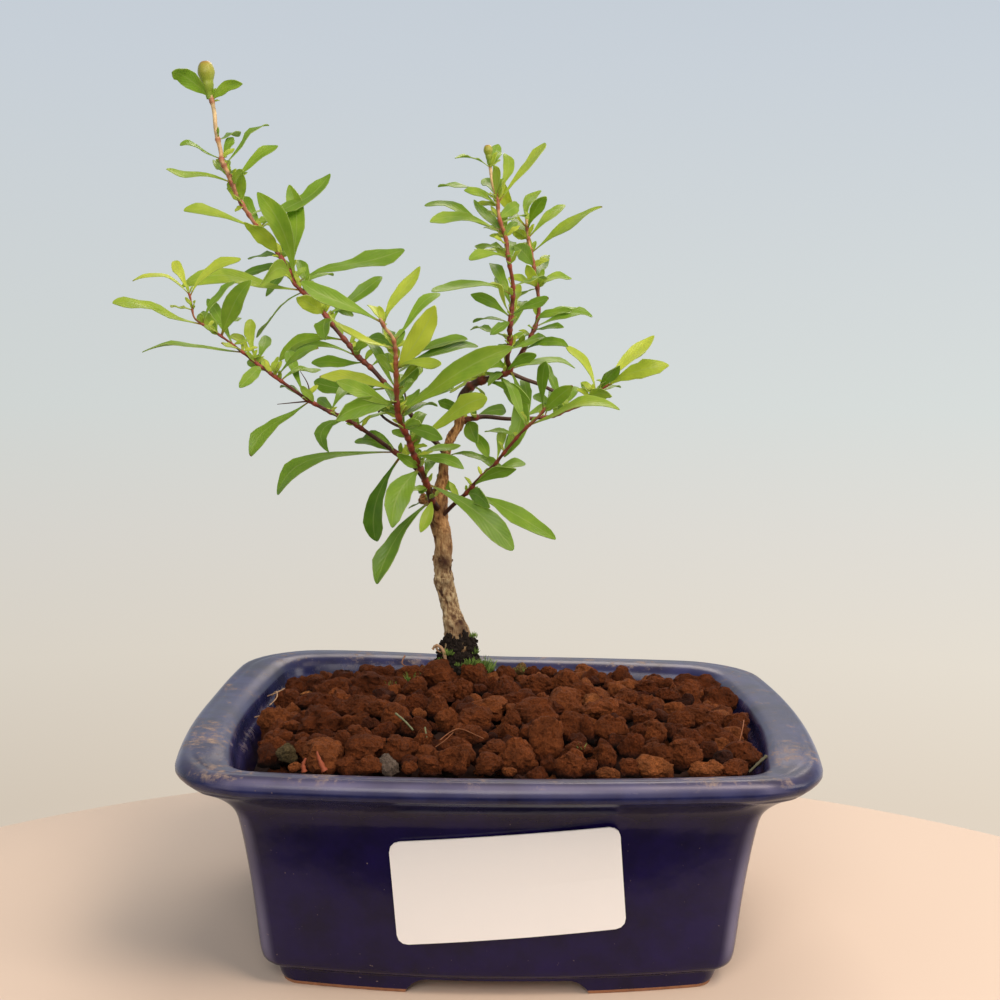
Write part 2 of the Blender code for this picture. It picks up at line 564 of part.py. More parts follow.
def make_soil(finish):
    """Body of soil that fills the pot, with its granules raised from its surface."""
    inset = SOIL_INSET
    centres = granule_centres()
    top_size = inner_outline_at(SOIL_EDGE_HEIGHT, inset)
    shape = bmesh.new()
    grid = []
    half = SOIL_CELLS // 2
    for i in range(-half, half + 1):
        row = []
        for j in range(-half, half + 1):
            point, edge = square_to_plan(i / half, j / half, *top_size)
            height = soil_height(point.x, point.y, edge, centres)
            row.append(shape.verts.new((point.x, point.y, height)))
        grid.append(row)
    for i in range(SOIL_CELLS):
        for j in range(SOIL_CELLS):
            shape.faces.new((grid[i][j], grid[i + 1][j], grid[i + 1][j + 1], grid[i][j + 1]))
    border = [edge for edge in shape.edges if edge.is_boundary]
    wall_length, wall_depth, wall_height = INNER_WALL[3]
    floor_length, floor_depth, _ = INNER_WALL[4]
    levels = [
        (wall_length - inset, wall_depth - inset, wall_height),
        (floor_length - inset, floor_depth - inset, FLOOR_TOP + GAP),
    ]
    half_length, half_depth = top_size
    for next_length, next_depth, height in levels:
        made = bmesh.ops.extrude_edge_only(shape, edges=border)
        moved = [item for item in made["geom"] if isinstance(item, bmesh.types.BMVert)]
        for vert in moved:
            vert.co.x *= next_length / half_length
            vert.co.y *= next_depth / half_depth
            vert.co.z = height
        border = [item for item in made["geom"] if isinstance(item, bmesh.types.BMEdge)]
        half_length, half_depth = next_length, next_depth
    bmesh.ops.contextual_create(shape, geom=border)
    soil = object_from_bmesh("soil", shape, finish)
    cutters = []
    for x in (-DRAIN_X, DRAIN_X):
        side = MESH_SIZE + 2 * GAP
        height = 2 * (MESH_THICKNESS + GAP)
        cutters.append(box("mesh_pocket", (x, 0.0, FLOOR_TOP + GAP), (side, side, height), finish))
    x, y, foot, _ = TRUNK_ROUTE[0]
    radius = max(point[3] for point in TRUNK_ROUTE) + POLYGON_GAP
    depth = POT_HEIGHT
    cutters.append(cylinder("trunk_hole", (x, y, foot - GAP + depth / 2), radius, depth, finish))
    combine(soil, cutters, "DIFFERENCE")
    merge_close_points(soil)
    return soil


# ---------------------------------------------------------------- wood


def tube(name, route, radii, resolution, finish):
    """Round stem along a route: a curve with a bevel and closed ends, turned into a mesh."""
    curve = bpy.data.curves.new(name, "CURVE")
    curve.dimensions = "3D"
    curve.bevel_depth = MM
    curve.bevel_resolution = resolution
    curve.use_fill_caps = True
    spline = curve.splines.new("POLY")
    spline.points.add(len(route) - 1)
    for point, place, radius in zip(spline.points, route, radii):
        point.co = (place[0] * MM, place[1] * MM, place[2] * MM, 1.0)
        point.radius = radius
    holder = bpy.data.objects.new(name, curve)
    bpy.context.scene.collection.objects.link(holder)
    bpy.context.view_layer.update()
    graph = bpy.context.evaluated_depsgraph_get()
    mesh = bpy.data.meshes.new_from_object(holder.evaluated_get(graph))
    bpy.data.objects.remove(holder)
    made = bpy.data.objects.new(name, mesh)
    mesh.materials.clear()
    mesh.materials.append(finish)
    bpy.context.scene.collection.objects.link(made)
    merge_close_points(made)
    return made


def make_trunk(finish):
    route = [point[:3] for point in TRUNK_ROUTE]
    radii = [point[3] for point in TRUNK_ROUTE]
    trunk = tube("trunk", route, radii, TRUNK_SIDES, finish)
    stubs = []
    for start, end, radius in CUT_STUBS:
        stubs.append(tube("stub", [start, end], [radius, radius * 0.9], STEM_SIDES, finish))
    combine(trunk, stubs, "UNION")
    merge_close_points(trunk)
    return trunk


def trunk_clearance(finish):
    """The trunk made thicker by the gap, which trims the stems that join it."""
    route = [point[:3] for point in TRUNK_ROUTE]
    radii = [point[3] + POLYGON_GAP for point in TRUNK_ROUTE]
    return tube("trunk_clearance", route, radii, TRUNK_SIDES, finish)


def point_along(route, distance):
    """Point at a distance along a route, in millimetres."""
    left = distance
    for start, end in zip(route, route[1:]):
        start = Vector(start)
        end = Vector(end)
        length = (end - start).length
        if left <= length:
            return start.lerp(end, left / length)
        left -= length
    return Vector(route[-1])


# ---------------------------------------------------------------- leaves


def leaf_axes(heading, rise, turn):
    """Directions along a leaf, across it and out of its upper face."""
    h = math.radians(heading)
    r = math.radians(rise)
    along = Vector((math.cos(h) * math.cos(r), math.sin(h) * math.cos(r), math.sin(r)))
    up = Vector((0, 0, 1))
    front = Vector((0, -1, 0))
    up -= along * up.dot(along)
    front -= along * front.dot(along)
    t = math.radians(turn)
    face = (up * math.cos(t) + front * math.sin(t)).normalized()
    across = along.cross(face)
    return along, across, face


def make_leaf(root, heading, rise, length, width, turn, finish):
    """One blade: a narrow petiole that widens to an oblong with a blunt tip, arched and slightly folded."""
    along, across, face = leaf_axes(heading, rise, turn)
    shape = bmesh.new()
    rings = []
    for share, breadth in LEAF_STATIONS:
        half = PETIOLE_HALF + breadth * (width / 2 - PETIOLE_HALF)
        arch = LEAF_ARCH * length * 4 * share * (1 - share)
        middle = root + along * (share * length) + Vector((0, 0, arch))
        thick = LEAF_THICKNESS / 2
        fold = LEAF_FOLD * (half - PETIOLE_HALF)
        corners = [
            middle + across * half + face * fold,
            middle + face * thick,
            middle - across * half + face * fold,
            middle - face * thick,
        ]
        rings.append([shape.verts.new(corner) for corner in corners])
    for lower, upper in zip(rings, rings[1:]):
        for i in range(4):
            j = (i + 1) % 4
            if i % 2 == 0:
                shape.faces.new((lower[i], lower[j], upper[j]))
                shape.faces.new((lower[i], upper[j], upper[i]))
            else:
                shape.faces.new((lower[i], lower[j], upper[i]))
                shape.faces.new((lower[j], upper[j], upper[i]))
    shape.faces.new(rings[0])
    tip = shape.verts.new(root + along * length)
    for i in range(4):
        shape.faces.new((rings[-1][i], rings[-1][(i + 1) % 4], tip))
    bmesh.ops.triangulate(shape, faces=shape.faces)
    return object_from_bmesh("leaf", shape, finish)


def back_leaves(route, count):
    """Leaves on the far side of a stem, turned round it by the golden angle within a half turn."""
    total = sum((Vector(b) - Vector(a)).length for a, b in zip(route, route[1:]))
    leaves = []
    for index in range(count):
        distance = total * (0.3 + 0.62 * (index + 0.5) / count)
        heading = 40 + (index * GOLDEN_ANGLE) % 100
        rise = 10 + 15 * (index % 3)
        length = 12.5 + 1.5 * (index % 3)
        leaves.append((distance, heading, rise, length, 3.2, 20))
    return leaves


def taper(route, thickness):
    """Radius at each point of a stem that thins evenly from its first to its second thickness."""
    lengths = [(Vector(b) - Vector(a)).length for a, b in zip(route, route[1:])]
    total = sum(lengths)
    start, end = thickness
    radii = [start / 2]
    travelled = 0.0
    for length in lengths:
        travelled += length
        radii.append((start + (end - start) * travelled / total) / 2)
    return radii


def make_stem(name, stem, leaf_finish, wood_finish):
    """One leafy stem: its wood, its side twigs and its leaves, joined in one body."""
    route = stem["route"]
    body = tube(name, route, taper(route, stem["thickness"]), STEM_SIDES, wood_finish)
    pieces = []
    for twig in stem["twigs"]:
        pieces.append(tube("twig", twig, taper(twig, TWIG_THICKNESS), STEM_SIDES, wood_finish))
    branches = [stem]
    if "fork" in stem:
        fork = stem["fork"]
        branches.append(fork)
        radii = taper(fork["route"], fork["thickness"])
        pieces.append(tube("fork", fork["route"], radii, STEM_SIDES, wood_finish))
    for branch in branches:
        leaves = branch["leaves"] + back_leaves(branch["route"], branch["back_leaves"])
        for distance, heading, rise, length, width, turn in leaves:
            root = point_along(branch["route"], distance)
            pieces.append(make_leaf(root, heading, rise, length, width, turn, leaf_finish))
    combine(body, pieces, "UNION")
    merge_close_points(body)
    combine(body, [trunk_clearance(wood_finish)], "DIFFERENCE")
    merge_close_points(body)
    return body


# ---------------------------------------------------------------- buds and label


def make_bud(name, foot, tip, radius, finish):
    """Closed flower bud: a turned urn shape that leans the way its stem does."""
    foot = Vector(foot)
    axis = Vector(tip) - foot
    turn = axis.to_track_quat("Z", "Y").to_matrix()
    shape = bmesh.new()
    rings = []
    for share, breadth in BUD_PROFILE:
        ring = []
        for side in range(BUD_SIDES):
            angle = 2 * math.pi * side / BUD_SIDES
            local = Vector((math.cos(angle), math.sin(angle), 0)) * radius * breadth
            ring.append(shape.verts.new(foot + axis * share + turn @ local))
        rings.append(ring)
    loft(shape, rings)
    return object_from_bmesh(name, shape, finish)


def front_wall(x, z):
    """Y of the pot's outer front wall at a place."""
    for lower, upper in zip(OUTER_WALL, OUTER_WALL[1:]):
        if lower[2] <= z <= upper[2]:
            share = (z - lower[2]) / (upper[2] - lower[2])
            half_length = lower[0] + share * (upper[0] - lower[0])
            half_depth = lower[1] + share * (upper[1] - lower[1])
            return -half_depth - BOW_Y * (1 - (x / half_length) ** 2)
    return -LIP_HALF_DEPTH


def label_half_height(u):
    """Half height of the label at a distance from its middle, less at its round corners."""
    into_corner = abs(u) - (LABEL_LENGTH / 2 - LABEL_CORNER)
    if into_corner <= 0:
        return LABEL_HEIGHT / 2
    drop = LABEL_CORNER - math.sqrt(max(0.0, LABEL_CORNER ** 2 - into_corner ** 2))
    return LABEL_HEIGHT / 2 - drop


def make_label(finish):
    end = LABEL_LENGTH / 2
    straight = end - LABEL_CORNER
    rounding = [end, end - 0.15 * LABEL_CORNER, end - 0.5 * LABEL_CORNER]
    columns = [-place for place in rounding]
    for index in range(LABEL_COLUMNS + 1):
        columns.append(-straight + 2 * straight * index / LABEL_COLUMNS)
    columns += reversed(rounding)
    tilt = math.radians(LABEL_TILT)
    shape = bmesh.new()
    grid = []
    for u in columns:
        column = []
        for row in range(LABEL_ROWS + 1):
            v = label_half_height(u) * (2 * row / LABEL_ROWS - 1)
            x = LABEL_CENTRE_X + u * math.cos(tilt) - v * math.sin(tilt)
            z = LABEL_CENTRE_Z + u * math.sin(tilt) + v * math.cos(tilt)
            column.append(shape.verts.new((x, front_wall(x, z) - POLYGON_GAP, z)))
        grid.append(column)
    for left, right in zip(grid, grid[1:]):
        for row in range(LABEL_ROWS):
            shape.faces.new((left[row], right[row], right[row + 1], left[row + 1]))
    made = bmesh.ops.extrude_face_region(shape, geom=shape.faces[:])
    moved = [item for item in made["geom"] if isinstance(item, bmesh.types.BMVert)]
    bmesh.ops.translate(shape, vec=(0, -LABEL_THICKNESS, 0), verts=moved)
    return object_from_bmesh("label", shape, finish)


# ---------------------------------------------------------------- assembly


def stand_on_origin():
    """Move every piece so that the middle of the bounding box's underside is the origin."""
    corners = []
    for item in bpy.data.objects:
        corners += [vert.co for vert in item.data.vertices]
    low = Vector(min(corner[axis] for corner in corners) for axis in range(3))
    high = Vector(max(corner[axis] for corner in corners) for axis in range(3))
    shift = Vector((-(low.x + high.x) / 2, -(low.y + high.y) / 2, -low.z))
    for item in bpy.data.objects:
        item.location = shift


def main():
    clear_scene()
    glaze = material("cobalt_glaze", (0.020, 0.012, 0.110), 0.15)
    lava = material("lava_granules", (0.130, 0.035, 0.015), 0.95)
    bark = material("bark", (0.330, 0.220, 0.130), 0.85)
    leaf = material("leaf", (0.170, 0.330, 0.060), 0.45)
    twig = material("twig", (0.230, 0.070, 0.030), 0.60)
    bud = material("bud", (0.480, 0.430, 0.120), 0.45)
    card = material("label_card", (0.850, 0.850, 0.850), 0.50)
    plastic = material("mesh_plastic", (0.030, 0.030, 0.030), 0.60)
    make_pot(glaze)
    make_drain_mesh("drain_mesh_left", -DRAIN_X, plastic)
    make_drain_mesh("drain_mesh_right", DRAIN_X, plastic)
    make_soil(lava)
    make_trunk(bark)
    for name, stem in STEMS.items():
        make_stem(name, stem, leaf, twig)
    for name, (foot, tip, radius) in BUDS.items():
        make_bud(name, foot, tip, radius, bud)
    make_label(card)
    stand_on_origin()


main()
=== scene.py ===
"""A young pomegranate bonsai in a small blue glazed pot, filled with lava granules.

Shapes are made in millimetres in the pot's own frame: the origin is the middle of the pot on the
surface that its feet stand on, +X runs along its long side and -Y is its front. When a piece is
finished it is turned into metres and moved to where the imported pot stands.
"""

import math
import random

import bmesh
import bpy
from mathutils import Matrix, Vector, noise


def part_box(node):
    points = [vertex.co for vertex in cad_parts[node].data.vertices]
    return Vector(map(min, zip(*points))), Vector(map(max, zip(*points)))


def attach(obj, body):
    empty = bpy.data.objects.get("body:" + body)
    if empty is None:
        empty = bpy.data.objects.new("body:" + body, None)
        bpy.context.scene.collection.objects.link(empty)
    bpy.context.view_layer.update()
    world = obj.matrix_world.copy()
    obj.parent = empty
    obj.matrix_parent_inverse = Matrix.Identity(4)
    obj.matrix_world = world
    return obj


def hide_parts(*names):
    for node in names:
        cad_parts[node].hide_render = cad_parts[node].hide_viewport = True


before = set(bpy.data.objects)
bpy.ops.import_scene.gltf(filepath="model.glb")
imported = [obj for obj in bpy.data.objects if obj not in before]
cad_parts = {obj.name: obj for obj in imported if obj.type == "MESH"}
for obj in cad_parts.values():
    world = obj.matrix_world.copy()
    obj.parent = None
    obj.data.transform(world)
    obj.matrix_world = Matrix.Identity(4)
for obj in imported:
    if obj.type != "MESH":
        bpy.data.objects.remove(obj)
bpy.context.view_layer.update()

MM = 0.001
POT_LOW, POT_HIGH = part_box("pot")
POT_PLACE = Vector(((POT_LOW.x + POT_HIGH.x) / 2, (POT_LOW.y + POT_HIGH.y) / 2, 0.0))
INTO_FRAME = Matrix.Translation(POT_PLACE) @ Matrix.Scale(MM, 4)

# ---------------------------------------------------------------- sizes of the pot

BOW_X = 4.6  # by which the middle of each end stands out beyond its corners
BOW_Y = 4.8
POT_HEIGHT = 44.2
LIP_HALF_LENGTH = 60.4
LIP_HALF_DEPTH = 49.2
LIP_RADIUS = 2.3
LIP_CORNER = 13.0
BODY_CORNER = 2.8
ARCH_HALF_WIDTH = 17.6
ARCH_HEIGHT = 2.9
DRAIN_X = 22.0
DRAIN_RADIUS = 4.5
UNGLAZED_BELOW = 0.55
UNGLAZED_FOOT = 4.0  # height up to which the hollow under the floor is bare clay
FOOT_HALF_LENGTH = 41.5
FOOT_HALF_DEPTH = 39.9
CORNER_STEPS = 8
LONG_SIDE_STEPS = 28
SHORT_SIDE_STEPS = 20

# Sections of the pot, from inside the foot out and up, over the lip and down to the floor: half
# length, half depth, height and corner radius. Those of the wall share one corner radius.
FOOT_INSIDE = [(34.9, 33.8, 3.2, 4.0), (35.7, 34.6, 0.3, 4.0), (36.3, 35.2, 0.0, 4.2)]
WALL = [
    (41.1, 39.7, 0.35), (41.7, 39.9, 1.6), (42.1, 40.0, 2.9), (42.5, 40.2, 3.5), (43.8, 40.9, 4.0),
    (44.7, 41.4, 4.9), (45.2, 41.7, 6.6), (45.6, 41.8, 9.5), (46.8, 42.3, 20.0), (48.7, 43.0, 31.5),
    (50.2, 43.8, 35.8),
]
FLARE = [(53.2, 45.5, 38.3, 5.0), (57.2, 47.4, 39.4, 9.5)]
OUTSIDE = [(40.5, 39.2, 0.0, 2.4)] + [(*section, BODY_CORNER) for section in WALL] + FLARE
LIP_DEGREES = (-62, -35, -8, 20, 48, 76, 104)
INSIDE = [
    (56.4, 45.4, 44.3, 11.0), (54.6, 43.8, 44.3, 9.5), (53.0, 42.5, 44.1, 8.0),
    (51.5, 41.3, 43.5, 6.5), (50.4, 40.4, 42.2, 5.5), (49.8, 39.8, 39.8, 5.5),
    (47.7, 39.2, 36.0, 5.5), (43.4, 37.6, 12.0, 6.0), (42.4, 36.8, 9.0, 6.0), (39.9, 34.5, 7.5, 6.0),
]
FRONT_SLOPE = 0.17  # by which the front flange falls towards the soil, for each millimetre
SLOPE_START = 1.8  # inside the lip, in millimetres
SLOPE_WIDTH = 6.5
CREST_PALENESS = 0.55  # of the thin glaze on the lip's crest
CREST_WIDTH = 0.55
CREST_INSET = 0.5  # of the crest from the lip's outermost line
CORNER_PALENESS_AND_HIGHLIGHT = 0.6  # of the thin glaze on the corners of the body, and a painted highlight along them
CORNER_LOW = 4.0  # heights between which the corners show it
CORNER_HIGH = 38.0
FILM = 0.05  # of dust on all that faces up, and how much more of it lies at the front
FRONT_FILM = 0.03
RIM_LIFT = 1.9  # by which the rim was pulled up at its back left corner in firing

# ---------------------------------------------------------------- sizes of the soil

SOIL_EDGE = 40.4
HEAP_RISE = 5.3
MOUND_RISE = 2.1
MOUND_SPREAD = 40.0
SOIL_HALF_LENGTH = 48.8
SOIL_HALF_DEPTH = 37.7
BED_HALF_LENGTH = 47.2
BED_DEPTH = 5.5  # of the bed below the heap's surface
BED_FLOOR = 9.2
BED_CELLS = 44
BED_LUMPS = 1.2
BED_EDGE_DROP = 2.0
BARE_LEFT = 2.6  # strips along the wall that the granules leave free
BARE_BACK = 4.0
FRONT_STRIP = 1.1  # by which small granules may come nearer to the front wall
UNDERSIDE_PAINTED_SHADE = 0.75  # painted shade: how much darker the underside of a granule is painted
CROWN = 2.3  # of the granules above the heap's surface
CROWN_SINK = 1.9  # by which the crown is lower at the back wall
# Small granules: how many are dropped, how many places are tried for each, their least, greatest
# and usual radius, how far apart they rest for each millimetre of their radii, and the half length
# and half depth of the field that they fall on.
DROPPED = 4200
PLACES_TRIED = 8
SMALL_RADIUS = (1.0, 3.8, 2.0)
PACKING = 1.03
DROP_FIELD = (54, 43)
TRUNK_CLEARANCE = 3.6
WALL_GAP = 0.4
END_WALL = 44  # distance from the middle at which the end walls' slope is reckoned with
END_SLOPE = 0.5
SLOPE_TOP = 40.0
# A granule's length, width and height for each millimetre of its measured or random size.
BIG_LENGTH = 1.24
BIG_WIDTH = 1.05
BIG_HEIGHT = 1.26
SMALL_SPREADS = ((1.05, 1.35), (0.95, 1.25), (0.9, 1.2))
BURIED = 3.6  # depth below the crown from which a granule may have few faces
# Tones of the small granules: usual, spread, darkest and lightest.
USUAL_TONE = 0.47
TONE_SPREAD = 0.18
DARKEST_TONE = 0.14
LIGHTEST_TONE = 0.88
ODD_TONE = 0.9  # from which up a tone stands for an ochre, mossy or grey stone
# The bigger granules on top: X, Y, Z, half width, half height, tone.
TOP_GRANULES = [
    (-46.2, 24, 41.9, 3, 2.5, 0.4), (-41.5, 13.7, 45.5, 2, 1.5, 0.35), (-36.6, 8.6, 45.8, 3.5, 2.4, 0.45),
    (-27.8, 6.3, 46.4, 4.8, 3.3, 0.4), (-30.2, 21, 46.5, 2.5, 1.8, 0.45), (-26.6, 14.3, 48, 1.8, 1.5, 0.4),
    (-20.2, 12.4, 48.4, 2.5, 1.7, 0.5), (-18.6, 1.1, 48.1, 2.2, 1.9, 0.5), (-13.3, 8, 48.8, 3.7, 2.9, 0.5),
    (-5.6, 9.5, 49, 3.1, 3.2, 0.5), (1.1, 17, 47.8, 2, 1.7, 0.45), (-12.2, -2.6, 48, 3, 2.1, 0.45),
    (-7.9, -0.6, 47.7, 2.4, 2.6, 0.5), (-2.8, 3.5, 48.1, 1.7, 2.1, 0.4), (0.7, -1.7, 48.1, 2.1, 1.9, 0.4),
    (-46.3, 6.1, 43.2, 2.8, 2.6, 0.45), (-41.1, 0.4, 45.2, 2.6, 1.9, 0.35), (-36, -6, 46, 2.9, 2.1, 0.4),
    (-29.9, -10.5, 46.6, 3.3, 2.3, 0.45), (-24.3, -14.7, 47.3, 2.5, 1.8, 0.5),
    (-21.5, -18.4, 46.5, 3, 2.7, 0.55), (-17, -12, 47.7, 2.1, 1.8, 0.4), (-13, -12.9, 47.5, 1.9, 2, 0.5),
    (-10.6, -20.5, 46.6, 2.4, 2.4, 0.62), (-16.9, -24.2, 46.3, 2.2, 2.2, 0.35),
    (-47.1, -7.4, 42, 3.6, 3.7, 0.66), (-36.1, -18.1, 44.4, 5.5, 3.7, 0.42),
    (-28.8, -21.5, 46.7, 2.2, 1.8, 0.5), (-25.7, -24.7, 46.9, 1.4, 1.3, 0.3),
    (-28, -29.2, 45.6, 2.5, 1.9, 0.5), (-22.7, -26.5, 46.1, 2, 1.9, 0.4), (-44.9, -28.5, 44, 1.8, 1.7, 0.5),
    (-40.9, -35.8, 44.2, 1.7, 1.5, 0.95), (-34, -35.4, 43.2, 4.2, 2.9, 0.68),
    (-35.1, -31.4, 45.4, 2.1, 1.4, 0.4), (-30.5, -32, 45, 1.7, 1.9, 0.45),
    (-26, -33.8, 44.2, 3.5, 2.3, 0.5), (-28.8, -38.8, 42.5, 2.3, 1.7, 0.5),
    (-24.6, -39, 42.9, 2.1, 1.7, 0.55), (-21, -38.7, 42.9, 1.9, 1.9, 1),
    (-18.9, -32.5, 44.4, 3.7, 2.5, 0.5), (-14.8, -30, 45.5, 2.1, 1.9, 0.5),
    (-16.9, -40.1, 42.8, 1.3, 1.2, 0.5), (-13.1, -39.1, 42.9, 2.3, 1.7, 0.5),
    (-8.3, -35.9, 43.2, 3.2, 2.7, 0.55), (-9.2, -31.6, 45.4, 2.3, 1.6, 0.5),
    (-5.4, -28.3, 46, 2.5, 1.7, 0.5), (-5, -20.1, 46.8, 3.2, 2.2, 0.5), (-1.8, -12.6, 47.3, 3.3, 2.3, 0.65),
    (-2.3, -38.7, 43.1, 2.5, 1.7, 0.5), (-0.8, -34, 44.8, 2.1, 1.5, 0.5), (4.6, 22, 46.8, 2.3, 2, 0.93),
    (7.5, 17.9, 48.2, 1.4, 1.2, 0.4), (11, 18.9, 47.7, 1.8, 1.5, 0.45), (20.1, 31, 44.5, 3.1, 2.1, 0.72),
    (27.9, 24, 43.5, 3.9, 3.8, 0.45), (14.9, 9.7, 47.1, 2.9, 2.7, 0.55), (8.2, 5, 47.8, 2.8, 2.2, 0.5),
    (2.6, 0.3, 48.3, 1.9, 1.7, 0.45), (4.9, -6.9, 47.1, 4, 2.7, 0.4), (13.5, -5.7, 46.9, 4, 2.7, 0.62),
    (18, 0.4, 47.3, 2.2, 2.1, 0.5), (27.7, -1, 47.1, 2.1, 1.5, 0.5), (20.4, -11, 46.8, 3.3, 2.3, 0.6),
    (7.7, -14.9, 46.7, 3.9, 2.6, 0.5), (2.5, -20.1, 47.1, 1.8, 1.8, 0.5),
    (25.2, -10.9, 46.8, 2.7, 1.8, 0.5), (32.2, -3.1, 45.8, 2.6, 2.3, 0.5), (32.7, 11, 46.4, 2.4, 1.7, 0.4),
    (37.1, 16.6, 45.7, 1.6, 1.5, 0.45), (36.9, 4.8, 45.9, 2, 1.4, 0.4), (42.3, 12.3, 43.5, 3.3, 3.2, 0.5),
    (37, -5, 45.5, 2.1, 1.9, 0.66), (46.6, 29, 42.6, 4.5, 3, 0.4), (49.4, 17.3, 41.4, 3.4, 3, 0.42),
    (41.9, -6.5, 44.4, 3.2, 2.1, 0.5), (14.7, -22.1, 46, 2.6, 2.6, 0.5), (18, -24.2, 46.2, 1.4, 2, 0.45),
    (9.3, -27.9, 44.4, 3.1, 3.7, 0.6), (2.1, -26.5, 46.1, 2, 1.9, 0.5), (22.9, -23.3, 45.6, 3, 2.8, 0.52),
    (27.3, -25.4, 46.3, 1.6, 1.5, 0.4), (31.3, -23.1, 45.6, 2.6, 2.4, 0.6),
    (29.6, -15.6, 46.4, 2.7, 1.8, 0.45), (37.5, -13.7, 45.2, 2.1, 2, 0.5),
    (44.8, -8.5, 43.9, 2.3, 1.8, 0.5), (50.7, -2, 41.7, 2.6, 2.3, 0.45),
    (43.8, -20.4, 43.3, 3.4, 2.9, 0.45), (36.8, -27.5, 45.3, 2.4, 1.9, 0.42),
    (26.2, -31.3, 44.6, 1.9, 2.3, 0.4), (30.6, -34.3, 43.7, 2.7, 2.5, 0.5),
    (35.5, -34.4, 43.8, 2.7, 2.3, 0.55), (48.1, -29, 42.6, 2.9, 2.1, 0.45),
    (3.5, -34.5, 43.3, 3.4, 3.2, 0.6), (13.8, -37.2, 43.1, 2.7, 2.3, 0.55),
    (14.4, -33.6, 44.8, 2.3, 1.6, 0.45), (20.7, -34.5, 43.9, 2.3, 2.3, 0.5),
    (17.4, -39.4, 43.1, 1.5, 1.2, 0.45), (20.8, -40.1, 42.1, 1.7, 1.1, 0.75),
    (25, -39.1, 43, 1.9, 1.4, 0.5), (29.3, -37.8, 42.8, 3, 2.3, 0.85), (40, -37, 42.4, 2.5, 1.7, 0.8),
    (45.5, -36.3, 42.1, 2.3, 1.6, 0.5),
]

# ---------------------------------------------------------------- the tree

# Middle of the trunk and its radius, from the buried end to the top of the leader.
TRUNK_ROUTE = [
    (-10, 14, 36, 3.2), (-9.8, 14, 46, 3.9), (-9.7, 14, 51.5, 3.9), (-9.6, 14, 54.8, 3.7),
    (-9.65, 14, 56.8, 3.2), (-9.95, 14, 58.7, 2.85), (-10.5, 14, 61, 2.5), (-10.95, 14, 62.8, 2.13),
    (-11.7, 14, 65.5, 1.95), (-12.25, 14, 67.8, 2.12), (-12.8, 14, 70, 2.3), (-12.75, 14, 71, 2.1),
    (-12.9, 14, 72.4, 1.95), (-12.95, 14, 74.1, 2.25), (-12.9, 14, 75.6, 2.02), (-12.9, 14, 79, 2.05),
    (-13.4, 14, 81.5, 2.05), (-14, 14, 84.5, 2.2), (-14, 14, 87, 2.1), (-13.7, 14.2, 89.5, 1.7),
    (-13.2, 14.7, 92.5, 1.3), (-12.9, 15, 96, 1.2), (-12, 15, 100, 1.1), (-10.9, 15, 102.7, 1.1),
    (-9.7, 15, 104.5, 1.1), (-9.5, 15, 107.8, 0.9),
]
# Brown scars in the bark: middle, reach and depth of colour.
BARK_SCARS = [
    ((-12.7, 11.8, 74.2), 1.9, 1), ((-10.8, 14, 74), 1.4, 0.8), ((-8, 11.2, 59.6), 2.5, 0.95),
    ((-12.4, 11.9, 69.4), 1.3, 0.45), ((-11.6, 12.4, 80), 1.8, 0.4), ((-12.5, 11.8, 86), 2.2, 0.7),
    ((-15.3, 12.7, 83), 1.5, 0.5), ((-9.4, 11.4, 62.5), 1.5, 0.4), ((-12.4, 14.5, 94.5), 1.8, 0.5),
    ((-9.6, 10.2, 52), 3.2, 1.3), ((-6, 12.6, 53.8), 2.8, 1.3), ((-12.8, 11.6, 51.2), 2.4, 1.2),
]
PLATE_STRETCH = (2.1, 2.1, 0.42)  # of the pattern of plates, which are longest up the trunk
PLATE_RELIEF = 0.4
PLATE_GROOVE = 0.3
LUMP_RELIEF = 0.3
SCAR_DEPTH = 0.25
# Stubs of lost branches: both ends and radius.
CUT_STUBS = [
    ((-14.0, 13.5, 87.0), (-18.2, 12.4, 88.8), 1.1),
    ((-12.8, 14.0, 73.8), (-15.0, 15.6, 75.0), 0.9),
]

